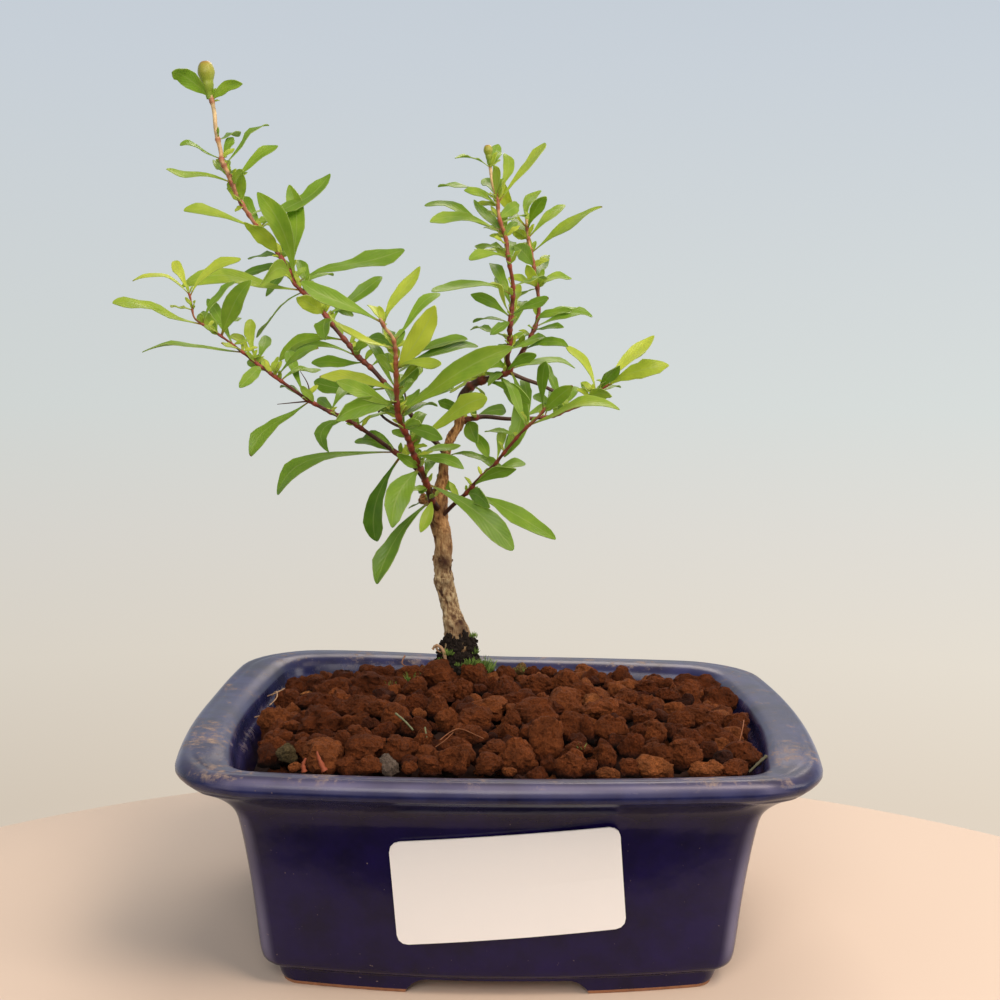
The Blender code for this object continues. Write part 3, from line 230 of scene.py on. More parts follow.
# Leafy stems. Each has its route, its thickness at even steps along it, the span of the bark's ageing
# that it shows (0 old brown wood, 1 soft pale shoot), bare side twigs, and its leaves: (distance
# along the stem, heading from +X, rise above level, length, width, turn of the face, tone, and for
# a curved leaf how far its middle lies off the straight line in X and Z). A face turned 0 degrees
# looks up, one turned 90 degrees looks to the front. Tone 0 is an old dark leaf, 1 a young yellow one.
STEMS = {
    "spray_front": {
        "route": [
            (-14, 13, 86), (-15.5, 9, 89), (-16.5, 6, 93), (-17.5, 4, 96), (-19, 2, 99.5), (-20, 0, 103),
            (-21.5, -2, 106.5), (-22, -4, 110), (-22, -5, 113), (-22, -7, 117.5), (-22, -8, 121),
            (-22.5, -9, 124), (-24, -10, 126), (-25, -11, 128),
        ],
        "root": (-13.4, 14.2, 82.5),
        "thickness": (1.5, 1.3, 1.15, 1.1, 1.05, 0.9, 0.75, 0.6),
        "bark": (0.1, 0.9),
        "back_leaves": 9,
        "leaves": [
            (4.5, 205, -54, 22, 5.3, 65, 0.28, (-2.1, 0.2)), (4.5, 256, -36, 10.2, 2.9, 90, 0.66),
            (4.5, 127, -16, 9.6, 2.3, 30, 0.3), (8.9, 218, -32, 2.5, 2.2, 35, 0.4),
            (9, 238, -5, 6.3, 2.2, 50, 0.5), (9.6, 343, -34, 24, 5.8, 80, 0.38, (0.9, 1.5)),
            (10.8, 73, 30, 9.8, 2.8, 90, 0.45), (14, 215, 31, 6.8, 2.6, 90, 0.5),
            (14.1, 224, -57, 14.5, 6.2, 90, 0.45, (-1.7, 0.8)), (15.9, 91, 59, 3.3, 2.2, 45, 0.5),
            (17.7, 327, -9, 13.1, 3.2, 70, 0.4, (0.5, 0.9)), (19.6, 319, 44, 5.1, 2.2, 60, 0.5),
            (20.8, 336, 30, 20.7, 5, 50, 0.74, (1.1, 1.6)), (22.4, 149, 18, 4.4, 2.2, 50, 0.5),
            (24.6, 306, 14, 6.8, 2.2, 75, 0.6), (25.3, 318, -9, 11.8, 3.6, 90, 0.38),
            (27.9, 28, 26, 14.1, 3.4, 50, 0.5, (-0.3, 1.5)), (28.2, 79, 59, 5.1, 2.2, 75, 0.4),
            (28.2, 45, 44, 8, 2.2, 50, 0.45), (28.7, 150, 16, 6.4, 2.2, 50, 0.5),
            (28.7, 344, 30, 28.6, 6, 55, 0.55, (-0.5, 0.9)), (30.1, 208, 23, 14.8, 3.8, 90, 0.55, (0, 0.3)),
            (31.4, 207, -14, 13.8, 4.6, 90, 0.42, (-1.2, 1.1)), (31.5, 49, 48, 9.4, 2.5, 90, 0.5),
            (33.9, 160, 9, 18.1, 4.3, 55, 0.92, (-0.2, 1.2)), (34.8, 307, 13, 6.6, 2.2, 40, 0.5),
            (35.3, 50, 24, 11.3, 2.7, 35, 0.7), (37.8, 143, 37, 6.6, 2.2, 60, 0.6),
            (37.8, 124, 54, 5.6, 2.2, 40, 0.5), (38.9, 324, 52, 16.7, 5.4, 90, 1, (0.8, 0.2)),
            (39.1, 321, 6, 12.4, 3, 55, 0.72), (39.1, 22, 15, 18.7, 4.5, 40, 0.28, (0.3, 1.3)),
            (40.4, 22, 18, 16.5, 4, 25, 0.35, (0.3, 1)), (43.3, 128, 10, 10.5, 3.1, 90, 0.38),
            (43.6, 215, 25, 16.9, 4.1, 35, 0.88, (-1.6, -1.2)), (43.6, 56, 53, 5, 2.2, 60, 0.35),
            (49.2, 37, 54, 15, 3.6, 30, 0.78, (-0.8, 0)), (49.4, 119, 27, 8.9, 2.2, 40, 0.85),
            (49.9, 204, 25, 18.7, 4.5, 50, 0.5, (-0.8, 0.2)),
        ],
    },
    "spray_left_upper": {
        "route": [
            (-12.2, 15.2, 97.5), (-14.5, 16, 100.5), (-18, 17, 103.5), (-21, 18, 107.5), (-25, 19, 112),
            (-29, 20, 116.5), (-32.5, 21, 119.5), (-35, 22, 122.5), (-38.5, 23, 126.5), (-42, 24, 131),
            (-47, 25, 135.5), (-48.5, 25, 139), (-51.5, 26, 143), (-54.5, 26, 146.5), (-57, 27, 150),
            (-60, 28, 154.5), (-62.5, 29, 160), (-64, 29, 163), (-64.5, 30, 165.5), (-65.5, 30, 170),
            (-66, 31, 174), (-66.6, 31, 177), (-67.2, 31, 179.2),
        ],
        "thickness": (1.3, 1.2, 1.1, 1, 0.9, 0.85, 0.85, 1, 1, 0.95),
        "bark": (0.08, 1),
        "back_leaves": 10,
        "twigs": [
            ([(-18, 17, 103.5), (-22.5, 17, 104), (-26.5, 18.5, 106), (-28.5, 20.5, 108.5)], (0.8, 0.55)),
            ([(-21, 18, 107.5), (-22, 19, 112), (-22.5, 19.5, 115.5)], (0.55, 0.3)),
        ],
        "leaves": [
            (0.3, 339, -11, 15.4, 3.7, 35, 0.5, (0.6, 1.5)), (15.6, 30, 1, 5.3, 2.2, 65, 0.35),
            (18.5, 54, 33, 11.5, 2.8, 65, 0.6), (20.7, 160, 3, 18.6, 4.5, 50, 0.33, (-2.4, -0.9)),
            (22.3, 149, -23, 8.4, 2.3, 90, 0.3), (26.9, 33, 20, 7.9, 2.2, 70, 0.4),
            (28.8, 152, -2, 14.4, 3.4, 50, 0.45), (30.3, 160, 4, 17.8, 4.3, 25, 0.42, (-2.2, 2.1)),
            (31.1, 286, 59, 2.4, 2.2, 55, 0.6), (31.8, 303, 22, 7.8, 2.5, 90, 0.6),
            (35.5, 159, -16, 17.6, 4.2, 50, 0.62, (-2.2, 2.2)), (36.1, 133, 49, 4.9, 2.2, 40, 0.6),
            (42.1, 273, -36, 8.3, 4.6, 90, 0.32), (42.8, 26, 33, 16.4, 3.9, 80, 0.4, (1.4, 0.5)),
            (43.2, 238, 20, 10.1, 4.1, 90, 0.82), (46.7, 44, -14, 11.5, 2.8, 50, 0.5),
            (50.1, 37, -30, 5.3, 2.2, 40, 0.5), (50.3, 154, -39, 16.6, 4, 25, 0.4, (-1.2, 0.3)),
            (50.8, 195, 1, 26.6, 6, 35, 0.66, (-0.8, 2.3)),
            (52.9, 230, 61, 22.3, 5.5, 90, 0.56, (1.3, 1.9)),
            (52.9, 15, 18, 26.4, 6, 30, 0.45, (-0.8, 0.3)),
            (53.9, 232, -10, 10.3, 4.6, 90, 0.62, (0.5, 3.3)), (55.5, 149, 0, 14, 3.3, 40, 0.3),
            (55.8, 98, 70, 21.2, 5.1, 35, 0.5, (1.5, 0.7)), (56, 130, -28, 11.9, 3.2, 90, 0.35),
            (58.8, 139, 4, 12.3, 2.9, 60, 0.3), (59.8, 35, 26, 4, 2.2, 40, 0.4),
            (60.1, 75, 32, 6, 2.2, 55, 0.1), (60.9, 230, 33, 11.6, 4.2, 90, 0.78, (0.9, 0.2)),
            (67.9, 203, 12, 17.2, 4.1, 50, 0.72, (-1.1, 1.4)),
            (68.1, 27, 37, 21.7, 5.2, 30, 0.45, (0.2, -0.7)), (68.8, 39, 35, 3.8, 2.2, 30, 0.6),
            (74.3, 216, -29, 2.5, 2.2, 25, 0.8), (74.8, 119, 32, 10.7, 4.2, 90, 0.66),
            (75.3, 285, 58, 7.1, 2.8, 90, 0.6), (79.8, 301, 23, 6.8, 2.4, 90, 0.6),
            (80, 33, 40, 14.6, 3.5, 40, 0.52, (0.1, 1.6)), (80.4, 203, 9, 14.9, 3.6, 40, 0.6, (-0.9, 0.2)),
            (80.6, 125, 30, 11.5, 2.8, 70, 0.6), (82.1, 283, 31, 5.4, 2.2, 60, 0.62),
            (86.2, 81, 37, 9.8, 2.4, 45, 0.5), (86.3, 224, 11, 11.1, 2.7, 55, 0.45, (-0.7, 1.1)),
            (100.4, 218, 27, 10.6, 4.6, 90, 0.55, (-1, 1.6)),
            (99.8, 340, 24, 8.6, 3.2, 70, 0.62, (-0.3, 1.2)),
        ],
    },
    "spray_left_lower": {
        "route": [
            (-14.5, 14.5, 88), (-19, 14, 95), (-24, 13, 99), (-29.5, 12, 103), (-34, 11, 106),
            (-37.5, 11, 107.5), (-42, 10, 110), (-45.5, 9, 112.5), (-49.5, 8, 115.5), (-53, 8, 118),
            (-56, 7, 120.5), (-60.5, 6, 124), (-64.5, 6, 126.5), (-66, 5, 128), (-66.5, 5, 131),
            (-67, 5, 133),
        ],
        "root": (-13.9, 14.3, 84.5),
        "thickness": (1.3, 1.1, 0.95, 0.85, 0.75, 0.6, 0.45, 0.35),
        "bark": (0.1, 0.72),
        "back_leaves": 7,
        "twigs": [
            ([(-42, 10, 110), (-49, 9, 109.3)], (0.4, 0.14)),
            ([(-42, 10, 110), (-42.3, 9.6, 113.5), (-44, 9.5, 116.5)], (0.4, 0.14)),
        ],
        "leaves": [
            (12.8, 129, -64, 22.3, 5.4, 55, 0.15, (-2.5, 0)), (13.2, 145, 11, 13.1, 3.1, 50, 0.35),
            (13.9, 150, 18, 9.7, 2.3, 60, 0.35, (0.4, 1.9)), (14.5, 195, -19, 27.4, 6, 20, 0.45, (-4, 3.3)),
            (23.7, 140, 40, 5.8, 2.2, 90, 0.5), (27.2, 249, -38, 10.8, 3.5, 90, 0.33, (-3.5, 1.1)),
            (29.1, 125, 19, 10.5, 2.6, 90, 0.38), (35.1, 226, 46, 5.4, 2.2, 45, 0.6),
            (36.3, 210, -40, 18, 4.3, 40, 0.4, (-1.5, 0.9)), (37.3, 130, 11, 10.8, 2.6, 20, 0.3),
            (45.2, 325, 28, 13.9, 3.3, 60, 0.5), (45.7, 56, 52, 4.1, 2.2, 30, 0.8),
            (46.1, 130, 14, 11, 3.1, 90, 0.52), (46.6, 137, 45, 4.7, 2.2, 35, 0.75),
            (49.1, 248, -25, 9.7, 3.1, 90, 0.5), (50.3, 108, 50, 12.4, 3, 35, 0.75, (-0.9, 0.8)),
            (51.7, 126, 27, 11.3, 2.7, 25, 0.8), (54.2, 203, 0, 21.3, 5.1, 25, 0.56, (-0.6, 1.4)),
            (54.4, 244, 15, 7.3, 2.2, 30, 0.7), (59.8, 321, 50, 15.3, 5, 90, 0.6),
            (60.6, 124, 25, 10.5, 3.5, 90, 0.6), (64.4, 204, 13, 19.4, 4.7, 40, 0.72, (-0.1, 0.7)),
            (64.6, 50, 46, 12.9, 3.1, 30, 0.4, (-0.6, 0.9)), (68.4, 133, 7, 9.1, 2.2, 30, 0.9),
            (71.3, 33, 36, 14.4, 3.4, 40, 0.85, (-1.7, 1.3)), (71.8, 211, 12, 12.5, 3, 40, 0.9, (1, 2.3)),
            (72, 121, 37, 11.8, 2.8, 25, 0.95, (-0.1, 0.6)),
        ],
    },
    "spray_right_lower": {
        "route": [
            (-13.2, 13.2, 84.5), (-11, 11, 87), (-7, 8, 91), (-5.5, 7, 93), (-1.5, 5, 97), (0, 4, 99),
            (4, 2, 104), (7.5, 0, 107.5), (9.5, -1, 110),
        ],
        "root": (-13.4, 14.2, 82),
        "thickness": (1, 0.85, 0.7, 0.65, 0.55),
        "bark": (0.15, 0.75),
        "back_leaves": 3,
        "leaves": [
            (7, 124, 25, 10.7, 2.6, 90, 0.3), (9.4, 302, -13, 9.9, 3.9, 90, 0.34),
            (10, 336, -24, 22.6, 5.4, 30, 0.42, (0, 0.5)), (11.5, 322, 21, 12.8, 3.3, 90, 0.45, (-0.2, 1)),
            (19.7, 81, 40, 10.6, 2.6, 90, 0.62), (27, 130, 4, 10.7, 2.6, 50, 0.6),
            (31.2, 338, 11, 20.4, 4.9, 35, 0.6, (-0.4, 2.3)), (35.7, 306, 30, 11.3, 3.8, 90, 0.56),
            (35.8, 271, 55, 12.8, 3.1, 55, 0.4),
        ],
    },
    "spray_right_far": {
        "route": [
            (-9.7, 15.2, 105.3), (-4.5, 17, 106.5), (2, 18, 106), (10.5, 19, 106.5), (14.5, 19, 108),
            (18.5, 20, 109.5), (22.5, 20, 113), (24.5, 20, 114),
        ],
        "thickness": (1.2, 1, 0.8, 0.7, 0.6, 0.5),
        "bark": (0.05, 0.7),
        "back_leaves": 4,
        "leaves": [
            (1.3, 306, -38, 11.9, 2.9, 40, 0.5, (0.3, 0.2)), (2.3, 286, -30, 9, 4.2, 90, 0.36),
            (4.1, 50, 7, 10.6, 3.1, 90, 0.28), (4.4, 141, 37, 4.7, 2.2, 45, 0.4),
            (16.2, 100, 48, 11.8, 2.9, 90, 0.42), (21.8, 53, 31, 11.6, 2.8, 65, 0.5),
            (23.3, 125, 20, 10.5, 2.5, 55, 0.4), (29.9, 302, 10, 9.7, 3.2, 90, 0.6),
            (32.3, 140, 37, 4.7, 2.2, 45, 0.7), (32.5, 301, 36, 11.4, 3.2, 90, 0.45),
            (32.8, 138, 50, 13.8, 3.3, 45, 0.8, (0.9, 1.5)), (35.4, 28, 42, 17.2, 4.1, 45, 0.9),
            (35.6, 337, 19, 15.4, 4.7, 90, 0.8, (-0.3, 1)), (35.6, 36, 35, 14, 3.3, 25, 0.85),
        ],
    },
    "spray_right_upper": {
        "route": [
            (-9.5, 15, 108.2), (-9, 15, 111), (-7.5, 15, 113), (-5, 15, 114.5), (-1.5, 15, 115.5),
            (1.5, 14.5, 117), (1, 13, 119.5), (1.5, 12, 123.5), (1.5, 11, 126.5), (2, 11, 131.5),
            (2, 10, 136), (1, 9, 141), (0.5, 9, 145), (-1, 8, 149.5), (-1.5, 8, 153.5), (-2.5, 7, 156.5),
            (-3, 7, 160),
        ],
        "thickness": (1.9, 1.7, 1.25, 1.1, 1, 0.9, 0.85, 0.75, 0.7, 0.65, 0.7),
        "bark": (0, 0.95),
        "back_leaves": 8,
        "twigs": [
            ([(1.5, 14.5, 116.5), (4.5, 14, 115.2), (9, 13, 113.6), (14, 12, 111)], (0.95, 0.7)),
        ],
        "leaves": [
            (0, 150, 16, 5.9, 2.7, 90, 0.3), (5.9, 61, -23, 6.8, 2.2, 45, 0.7),
            (8.4, 329, -19, 13.5, 3.3, 90, 0.5, (0.5, 1.1)), (9.1, 141, -40, 10.1, 2.4, 55, 0.32),
            (12.3, 147, -17, 13.5, 3.2, 45, 0.86, (0.3, 1.1)), (12.6, 67, -38, 11.2, 2.9, 90, 0.42),
            (14.1, 216, -32, 5.3, 2.2, 55, 0.4), (14.2, 309, 22, 11.1, 3.1, 90, 0.5),
            (15, 227, -1, 11, 3.8, 90, 0.45, (0, 2.4)), (15.5, 21, 1, 15.8, 3.8, 30, 0.45, (0.6, 1.9)),
            (15.6, 263, -68, 20.3, 4.9, 50, 0.42, (3.2, 0)), (21.2, 150, -11, 3.9, 2.2, 35, 0.4),
            (22.3, 31, 19, 4.6, 2.2, 30, 0.5), (23.3, 138, 7, 11.8, 2.8, 20, 0.5),
            (26.3, 136, 1, 11.5, 2.7, 30, 0.45, (0.1, 1)), (26.6, 239, -18, 8.6, 2.4, 90, 0.33),
            (27.4, 140, 24, 12.8, 3.1, 90, 0.5), (27.9, 315, 19, 11.7, 2.8, 60, 0.5),
            (28.3, 241, 35, 11.2, 2.7, 40, 0.86, (0.1, 0.8)), (28.3, 82, 39, 10.6, 2.5, 35, 0.85),
            (32.2, 117, 26, 9.6, 2.3, 50, 0.6), (32.4, 201, 2, 18.5, 4.4, 40, 0.5, (-0.6, 2)),
            (40.5, 143, 37, 3.7, 2.2, 30, 0.7), (40.5, 224, -3, 11.4, 2.7, 55, 0.6, (-0.4, 1.2)),
            (41.4, 132, 11, 11.1, 2.7, 30, 0.6), (44.7, 123, 18, 9.3, 2.2, 35, 0.8),
            (44.7, 96, 38, 10.4, 2.5, 40, 0.85), (45.1, 41, 43, 4.8, 2.2, 80, 0.3),
            (45.1, 202, 9, 17.3, 4.2, 40, 0.58, (-0.5, 2.6)),
            (46.7, 159, 17, 19.2, 4.6, 15, 0.56, (0.1, 0.8)), (49.2, 59, 23, 9.1, 3.3, 90, 0.5),
            (49.3, 147, 28, 3.8, 2.2, 25, 0.7), (51.8, 229, 14, 10.9, 2.6, 55, 0.6),
            (52.5, 31, 49, 17.8, 4.3, 25, 0.78, (1.1, 1.4)),
            (53.4, 155, 12, 14.5, 3.5, 30, 0.56, (0.6, 1.1)), (53.5, 266, 37, 10.2, 2.4, 45, 0.7),
            (54.4, 77, 50, 12.4, 3, 25, 0.62, (1.8, 0.9)), (60.9, 76, 38, 9.2, 3, 90, 0.55),
            (61.1, 228, 6, 10.8, 2.6, 40, 0.5, (0.3, 1)),
        ],
        "fork": {
            "route": [
                (1.5, 14.5, 117), (5, 19, 122), (6.5, 20, 125), (7.5, 21, 127.5), (8, 21, 130.5),
                (7.5, 22, 136), (7, 23, 138.5), (6.5, 23, 141.5), (5.5, 24, 146), (5, 24, 150.5),
            ],
            "thickness": (1, 0.9, 0.8, 0.7, 0.65),
            "bark": (0.3, 0.9),
            "back_leaves": 3,
            "leaves": [
                (6.6, 322, 5, 12.3, 3, 65, 0.45, (0.4, 1.5)), (10.6, 121, -19, 7.9, 2.2, 40, 0.4),
                (12.2, 317, 21, 12, 2.9, 50, 0.5, (-1.1, 1.3)), (12.2, 308, 3, 10.3, 2.5, 40, 0.4),
                (12.9, 24, 10, 14.6, 3.5, 35, 0.5, (0.3, 1.4)), (21.7, 123, -13, 7.3, 2.2, 30, 0.5),
                (21.8, 211, 15, 7.8, 2.2, 70, 0.62), (21.8, 232, 51, 6.3, 2.7, 90, 0.82),
                (22.2, 45, 10, 11.6, 2.8, 35, 0.6, (-0.4, 1.1)), (26.6, 60, 25, 7.1, 2.2, 40, 0.7),
                (26.7, 240, 24, 10.3, 4.3, 90, 0.42), (28, 155, 11, 14.9, 3.6, 20, 0.75, (0.2, 1.3)),
                (30, 335, 30, 19.5, 4.7, 40, 0.66, (-0.3, 0.7)), (33.2, 212, 18, 4.5, 2.7, 90, 0.8),
                (33.4, 40, 36, 13.6, 3.3, 50, 0.6, (0.5, 1.2)), (35.3, 296, 37, 11, 3.4, 90, 0.55),
                (35.7, 220, 48, 14.7, 3.7, 90, 0.96, (-0.8, -0.3)),
                (35.9, 68, 46, 12.2, 2.9, 30, 0.6, (-1.4, 1.5)),
            ],
        },
    },
}

LEAF_ARCH = 0.07  # height of a leaf's arch, as a share of its length
LEAF_FOLD = 0.16  # rise of the blade on both sides of its rib, as a share of its breadth
LEAF_THICKNESS = 0.16
SLENDER = 0.85  # a folded and twisted leaf is a little narrower than its blade laid flat
SCORCHED_SHARE = 0.12  # of the leaves, whose tips are dry and brown
GOLDEN_ANGLE = 137.5
# Outlines of a leaf: how far along it and how wide, as shares of its length and half width.
LEAF_OUTLINES = {
    "lance": [
        (0.0, 0.1), (0.06, 0.1), (0.13, 0.16), (0.23, 0.34), (0.34, 0.59), (0.45, 0.82),
        (0.56, 0.96), (0.66, 1.0), (0.76, 0.93), (0.85, 0.74), (0.92, 0.49), (0.975, 0.24), (1.0, 0.06),
    ],
    "spoon": [
        (0.0, 0.1), (0.07, 0.1), (0.15, 0.14), (0.25, 0.28), (0.36, 0.48), (0.47, 0.69),
        (0.58, 0.88), (0.7, 1.0), (0.8, 0.98), (0.88, 0.82), (0.95, 0.54), (0.985, 0.3), (1.0, 0.1),
    ],
    "oval": [
        (0.0, 0.12), (0.06, 0.12), (0.13, 0.3), (0.22, 0.6), (0.32, 0.84), (0.43, 0.97),
        (0.54, 1.0), (0.65, 0.95), (0.76, 0.82), (0.86, 0.6), (0.93, 0.36), (0.98, 0.17), (1.0, 0.05),
    ],
}
LEAF_COLUMNS = 4

BUDS = {
    "flower_bud_left": ((-67.1, 31.0, 177.2), (-68.0, 31.0, 185.5), 1.95),
    "flower_bud_right": ((-3.2, 6.8, 160.8), (-3.6, 6.8, 164.7), 1.0),
}


# ---------------------------------------------------------------- ways of working


def select_only(*items):
    bpy.ops.object.select_all(action="DESELECT")
    for item in items:
        item.select_set(True)
    bpy.context.view_layer.objects.active = items[0]


def named(item, name):
    item.name = name
    item.data.name = name
    return item


def new_piece(name):
    """Take the primitive that was just added, with its place put into its mesh."""
    item = bpy.context.object
    select_only(item)
    bpy.ops.object.transform_apply(location=True, rotation=True, scale=True)
    return named(item, name)


def apply_modifier(item, kind, **settings):
    select_only(item)
    modifier = item.modifiers.new(kind.lower(), kind)
    for key, value in settings.items():
        setattr(modifier, key, value)
    bpy.ops.object.modifier_apply(modifier=modifier.name)


def join(name, items):
    select_only(*items)
    if len(items) > 1:
        bpy.ops.object.join()
    return named(bpy.context.object, name)


def own_copy(item):
    made = item.copy()
    made.data = item.data.copy()
    bpy.context.scene.collection.objects.link(made)
    return made


def remove(*items):
    for item in items:
        bpy.data.objects.remove(item)


def close_seams(item, distance=0.001):
    select_only(item)
    bpy.ops.object.mode_set(mode="EDIT")
    bpy.ops.mesh.select_all(action="SELECT")
    bpy.ops.mesh.remove_doubles(threshold=distance)
    bpy.ops.mesh.normals_make_consistent(inside=False)
    bpy.ops.object.mode_set(mode="OBJECT")


def select_open_edges(item):
    """In edit mode, select nothing but the edges round an opening."""
    bpy.ops.mesh.select_mode(type="EDGE")
    bpy.ops.mesh.select_all(action="DESELECT")
    shape = bmesh.from_edit_mesh(item.data)
    for edge in shape.edges:
        edge.select_set(edge.is_boundary)


def close_opening():
    """Put a face on the selected edges, point all faces outwards and leave edit mode."""
    bpy.ops.mesh.edge_face_add()
    bpy.ops.mesh.select_all(action="SELECT")
    bpy.ops.mesh.normals_make_consistent(inside=False)
    bpy.ops.object.mode_set(mode="OBJECT")


def smooth(item, degrees):
    select_only(item)
    bpy.ops.object.shade_smooth_by_angle(angle=math.radians(degrees))


def cloud(name, size, depth=2, creased=False):
    """Random pattern for a Displace modifier. size is that of its lumps in millimetres."""
    pattern = bpy.data.textures.new(name, "CLOUDS")
    pattern.noise_scale = size
    pattern.noise_depth = depth
    pattern.noise_type = "HARD_NOISE" if creased else "SOFT_NOISE"
    return pattern


def mark_points(item, name, values):
    """Keep one number for each point of a mesh, for its material to read."""
    layer = item.data.attributes.new(name, "FLOAT", "POINT")
    layer.data.foreach_set("value", values)


def finish_piece(item, slot, *nodes):
    """Turn a piece into the frame from millimetres and hang it on the part. The slot is not used."""
    item.data.transform(INTO_FRAME)
    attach(item, "root")
    if nodes:
        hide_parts(*nodes)


# ---------------------------------------------------------------- finishes


def linear(colour):
    """Linear RGBA of an sRGB colour written as #rrggbb."""
    values = []
    for start in (1, 3, 5):
        share = int(colour[start:start + 2], 16) / 255
        values.append(share / 12.92 if share <= 0.04045 else ((share + 0.055) / 1.055) ** 2.4)
    return (*values, 1.0)


def add(tree, kind, inputs=None, stops=None, **settings):
    """Add a node: its settings, then for each input a socket to link from or a plain value."""
    made = tree.nodes.new(kind)
    for key, value in settings.items():
        setattr(made, key, value)
    for key, value in (inputs or {}).items():
        if isinstance(value, bpy.types.NodeSocket):
            tree.links.new(value, made.inputs[key])
        elif isinstance(value, str):
            made.inputs[key].default_value = linear(value)
        else:
            made.inputs[key].default_value = value
    if stops:
        ramp = made.color_ramp.elements
        while len(ramp) < len(stops):
            ramp.new(1.0)
        for element, (place, colour) in zip(ramp, stops):
            element.position = place
            element.color = linear(colour)
    return made


def new_finish(name, **values):
    """A material with one Principled shader, its sockets set to plain values."""
    finish = bpy.data.materials.new(name)
    finish.use_nodes = True
    shader = finish.node_tree.nodes["Principled BSDF"]
    for key, value in values.items():
        socket = shader.inputs[key.replace("_", " ")]
        socket.default_value = linear(value) if isinstance(value, str) else value
    return finish, finish.node_tree, shader


def per_metre(size):
    """Noise scale that gives features of this size in millimetres on coordinates in metres."""
    return 1 / (size * MM)


def cobalt_glaze():
    # Fired stoneware glaze, cobalt blue: deep and glassy on the walls, greyer and thinner on the
    # flange, with soft clouds, faint ripples, and beige dust from the soil on what faces up.
    finish, tree, shader = new_finish("fired_cobalt_glaze", IOR=1.5, Specular_IOR_Level=0.32)
    place = add(tree, "ShaderNodeTexCoord").outputs["Object"]
    height = add(tree, "ShaderNodeSeparateXYZ", {"Vector": place}).outputs["Z"]
    up_wall = add(tree, "ShaderNodeMapRange", {
        "Value": height, "From Min": 0.035, "From Max": 0.0425,
    }, interpolation_type="SMOOTHSTEP").outputs["Result"]
    flow = add(tree, "ShaderNodeTexNoise", {
        "Vector": place, "Scale": per_metre(9), "Detail": 5.0, "Roughness": 0.6,
    }).outputs["Fac"]
    clouds = add(tree, "ShaderNodeMapRange", {
        "Value": flow, "From Min": 0.35, "From Max": 0.65,
    }).outputs["Result"]
    body, rim = (
        add(tree, "ShaderNodeMix", {
            "Factor": clouds, "A": dark, "B": light,
        }, data_type="RGBA").outputs["Result"]
        for dark, light in (("#0d062b", "#140a3d"), ("#0f1136", "#262b59"))
    )
    # Paler where the glaze is thin on the lip's crest; on the body's corners this paleness is also a
    # painted highlight.
    thin_glaze_and_highlight = add(tree, "ShaderNodeAttribute", attribute_name="thin_glaze_and_highlight").outputs["Fac"]
    facing = add(tree, "ShaderNodeSeparateXYZ", {
        "Vector": add(tree, "ShaderNodeNewGeometry").outputs["Normal"],
    }).outputs["Z"]
    level = add(tree, "ShaderNodeMapRange", {
        "Value": facing, "From Min": 0.2, "From Max": 0.9,
    }).outputs["Result"]
    level = add(tree, "ShaderNodeMath", {0: level, 1: up_wall}, operation="MULTIPLY").outputs[0]
    patches = add(tree, "ShaderNodeTexNoise", {"Vector": place, "Scale": per_metre(10), "Detail": 3.0})
    specks = add(tree, "ShaderNodeTexNoise", {
        "Vector": place, "Scale": per_metre(2.2), "Detail": 8.0, "Roughness": 0.8,
    }).outputs["Fac"]
    specks = add(tree, "ShaderNodeMath", {
        0: patches.outputs["Fac"], 1: 0.5, 2: specks,
    }, operation="MULTIPLY_ADD").outputs[0]
    dust = add(tree, "ShaderNodeMapRange", {
        "Value": specks, "From Min": 0.8, "From Max": 0.96, "To Max": 0.8,
    }).outputs["Result"]
    dust = add(tree, "ShaderNodeMath", {0: dust, 1: level}, operation="MULTIPLY").outputs[0]
    dusty = add(tree, "ShaderNodeAttribute", attribute_name="dusty").outputs["Fac"]
    film = add(tree, "ShaderNodeMath", {0: level, 1: dusty, 2: dust}, operation="MULTIPLY_ADD").outputs[0]
    fine = add(tree, "ShaderNodeTexNoise", {"Vector": place, "Scale": per_metre(0.8), "Detail": 2.0})
    grains = add(tree, "ShaderNodeMapRange", {
        "Value": fine.outputs["Fac"], "From Min": 0.74, "From Max": 0.8, "To Max": 0.6,
    }).outputs["Result"]
    colour = body
    for share, layer in ((up_wall, rim), (thin_glaze_and_highlight, "#8a87a6"), (film, "#a08c7c"), (grains, "#8d7a72")):
        colour = add(tree, "ShaderNodeMix", {
            "Factor": share, "A": colour, "B": layer,
        }, data_type="RGBA").outputs["Result"]
    tree.links.new(colour, shader.inputs["Base Color"])
    matt = add(tree, "ShaderNodeMath", {0: up_wall, 1: 0.09, 2: 0.17}, operation="MULTIPLY_ADD")
    rough = add(tree, "ShaderNodeMath", {0: film, 1: 0.9, 2: matt.outputs[0]}, operation="MULTIPLY_ADD")
    tree.links.new(rough.outputs[0], shader.inputs["Roughness"])
    ripple = add(tree, "ShaderNodeTexNoise", {"Vector": place, "Scale": per_metre(5), "Detail": 2.0})
    bump = add(tree, "ShaderNodeBump", {
        "Height": ripple.outputs["Fac"], "Strength": 0.15, "Distance": 0.5 * MM,
    })
    tree.links.new(bump.outputs["Normal"], shader.inputs["Normal"])
    return finish


def unglazed_stoneware():
    # Bare fired clay under the foot: dull brown, slightly grainy.
    finish, tree, shader = new_finish("unglazed_stoneware", Roughness=0.85, IOR=1.5)
    place = add(tree, "ShaderNodeTexCoord").outputs["Object"]
    grain = add(tree, "ShaderNodeTexNoise", {"Vector": place, "Scale": per_metre(1.5), "Detail": 5.0})
    colour = add(tree, "ShaderNodeMix", {
        "Factor": grain.outputs["Fac"], "A": "#6d4632", "B": "#a87552",
    }, data_type="RGBA").outputs["Result"]
    tree.links.new(colour, shader.inputs["Base Color"])
    return finish


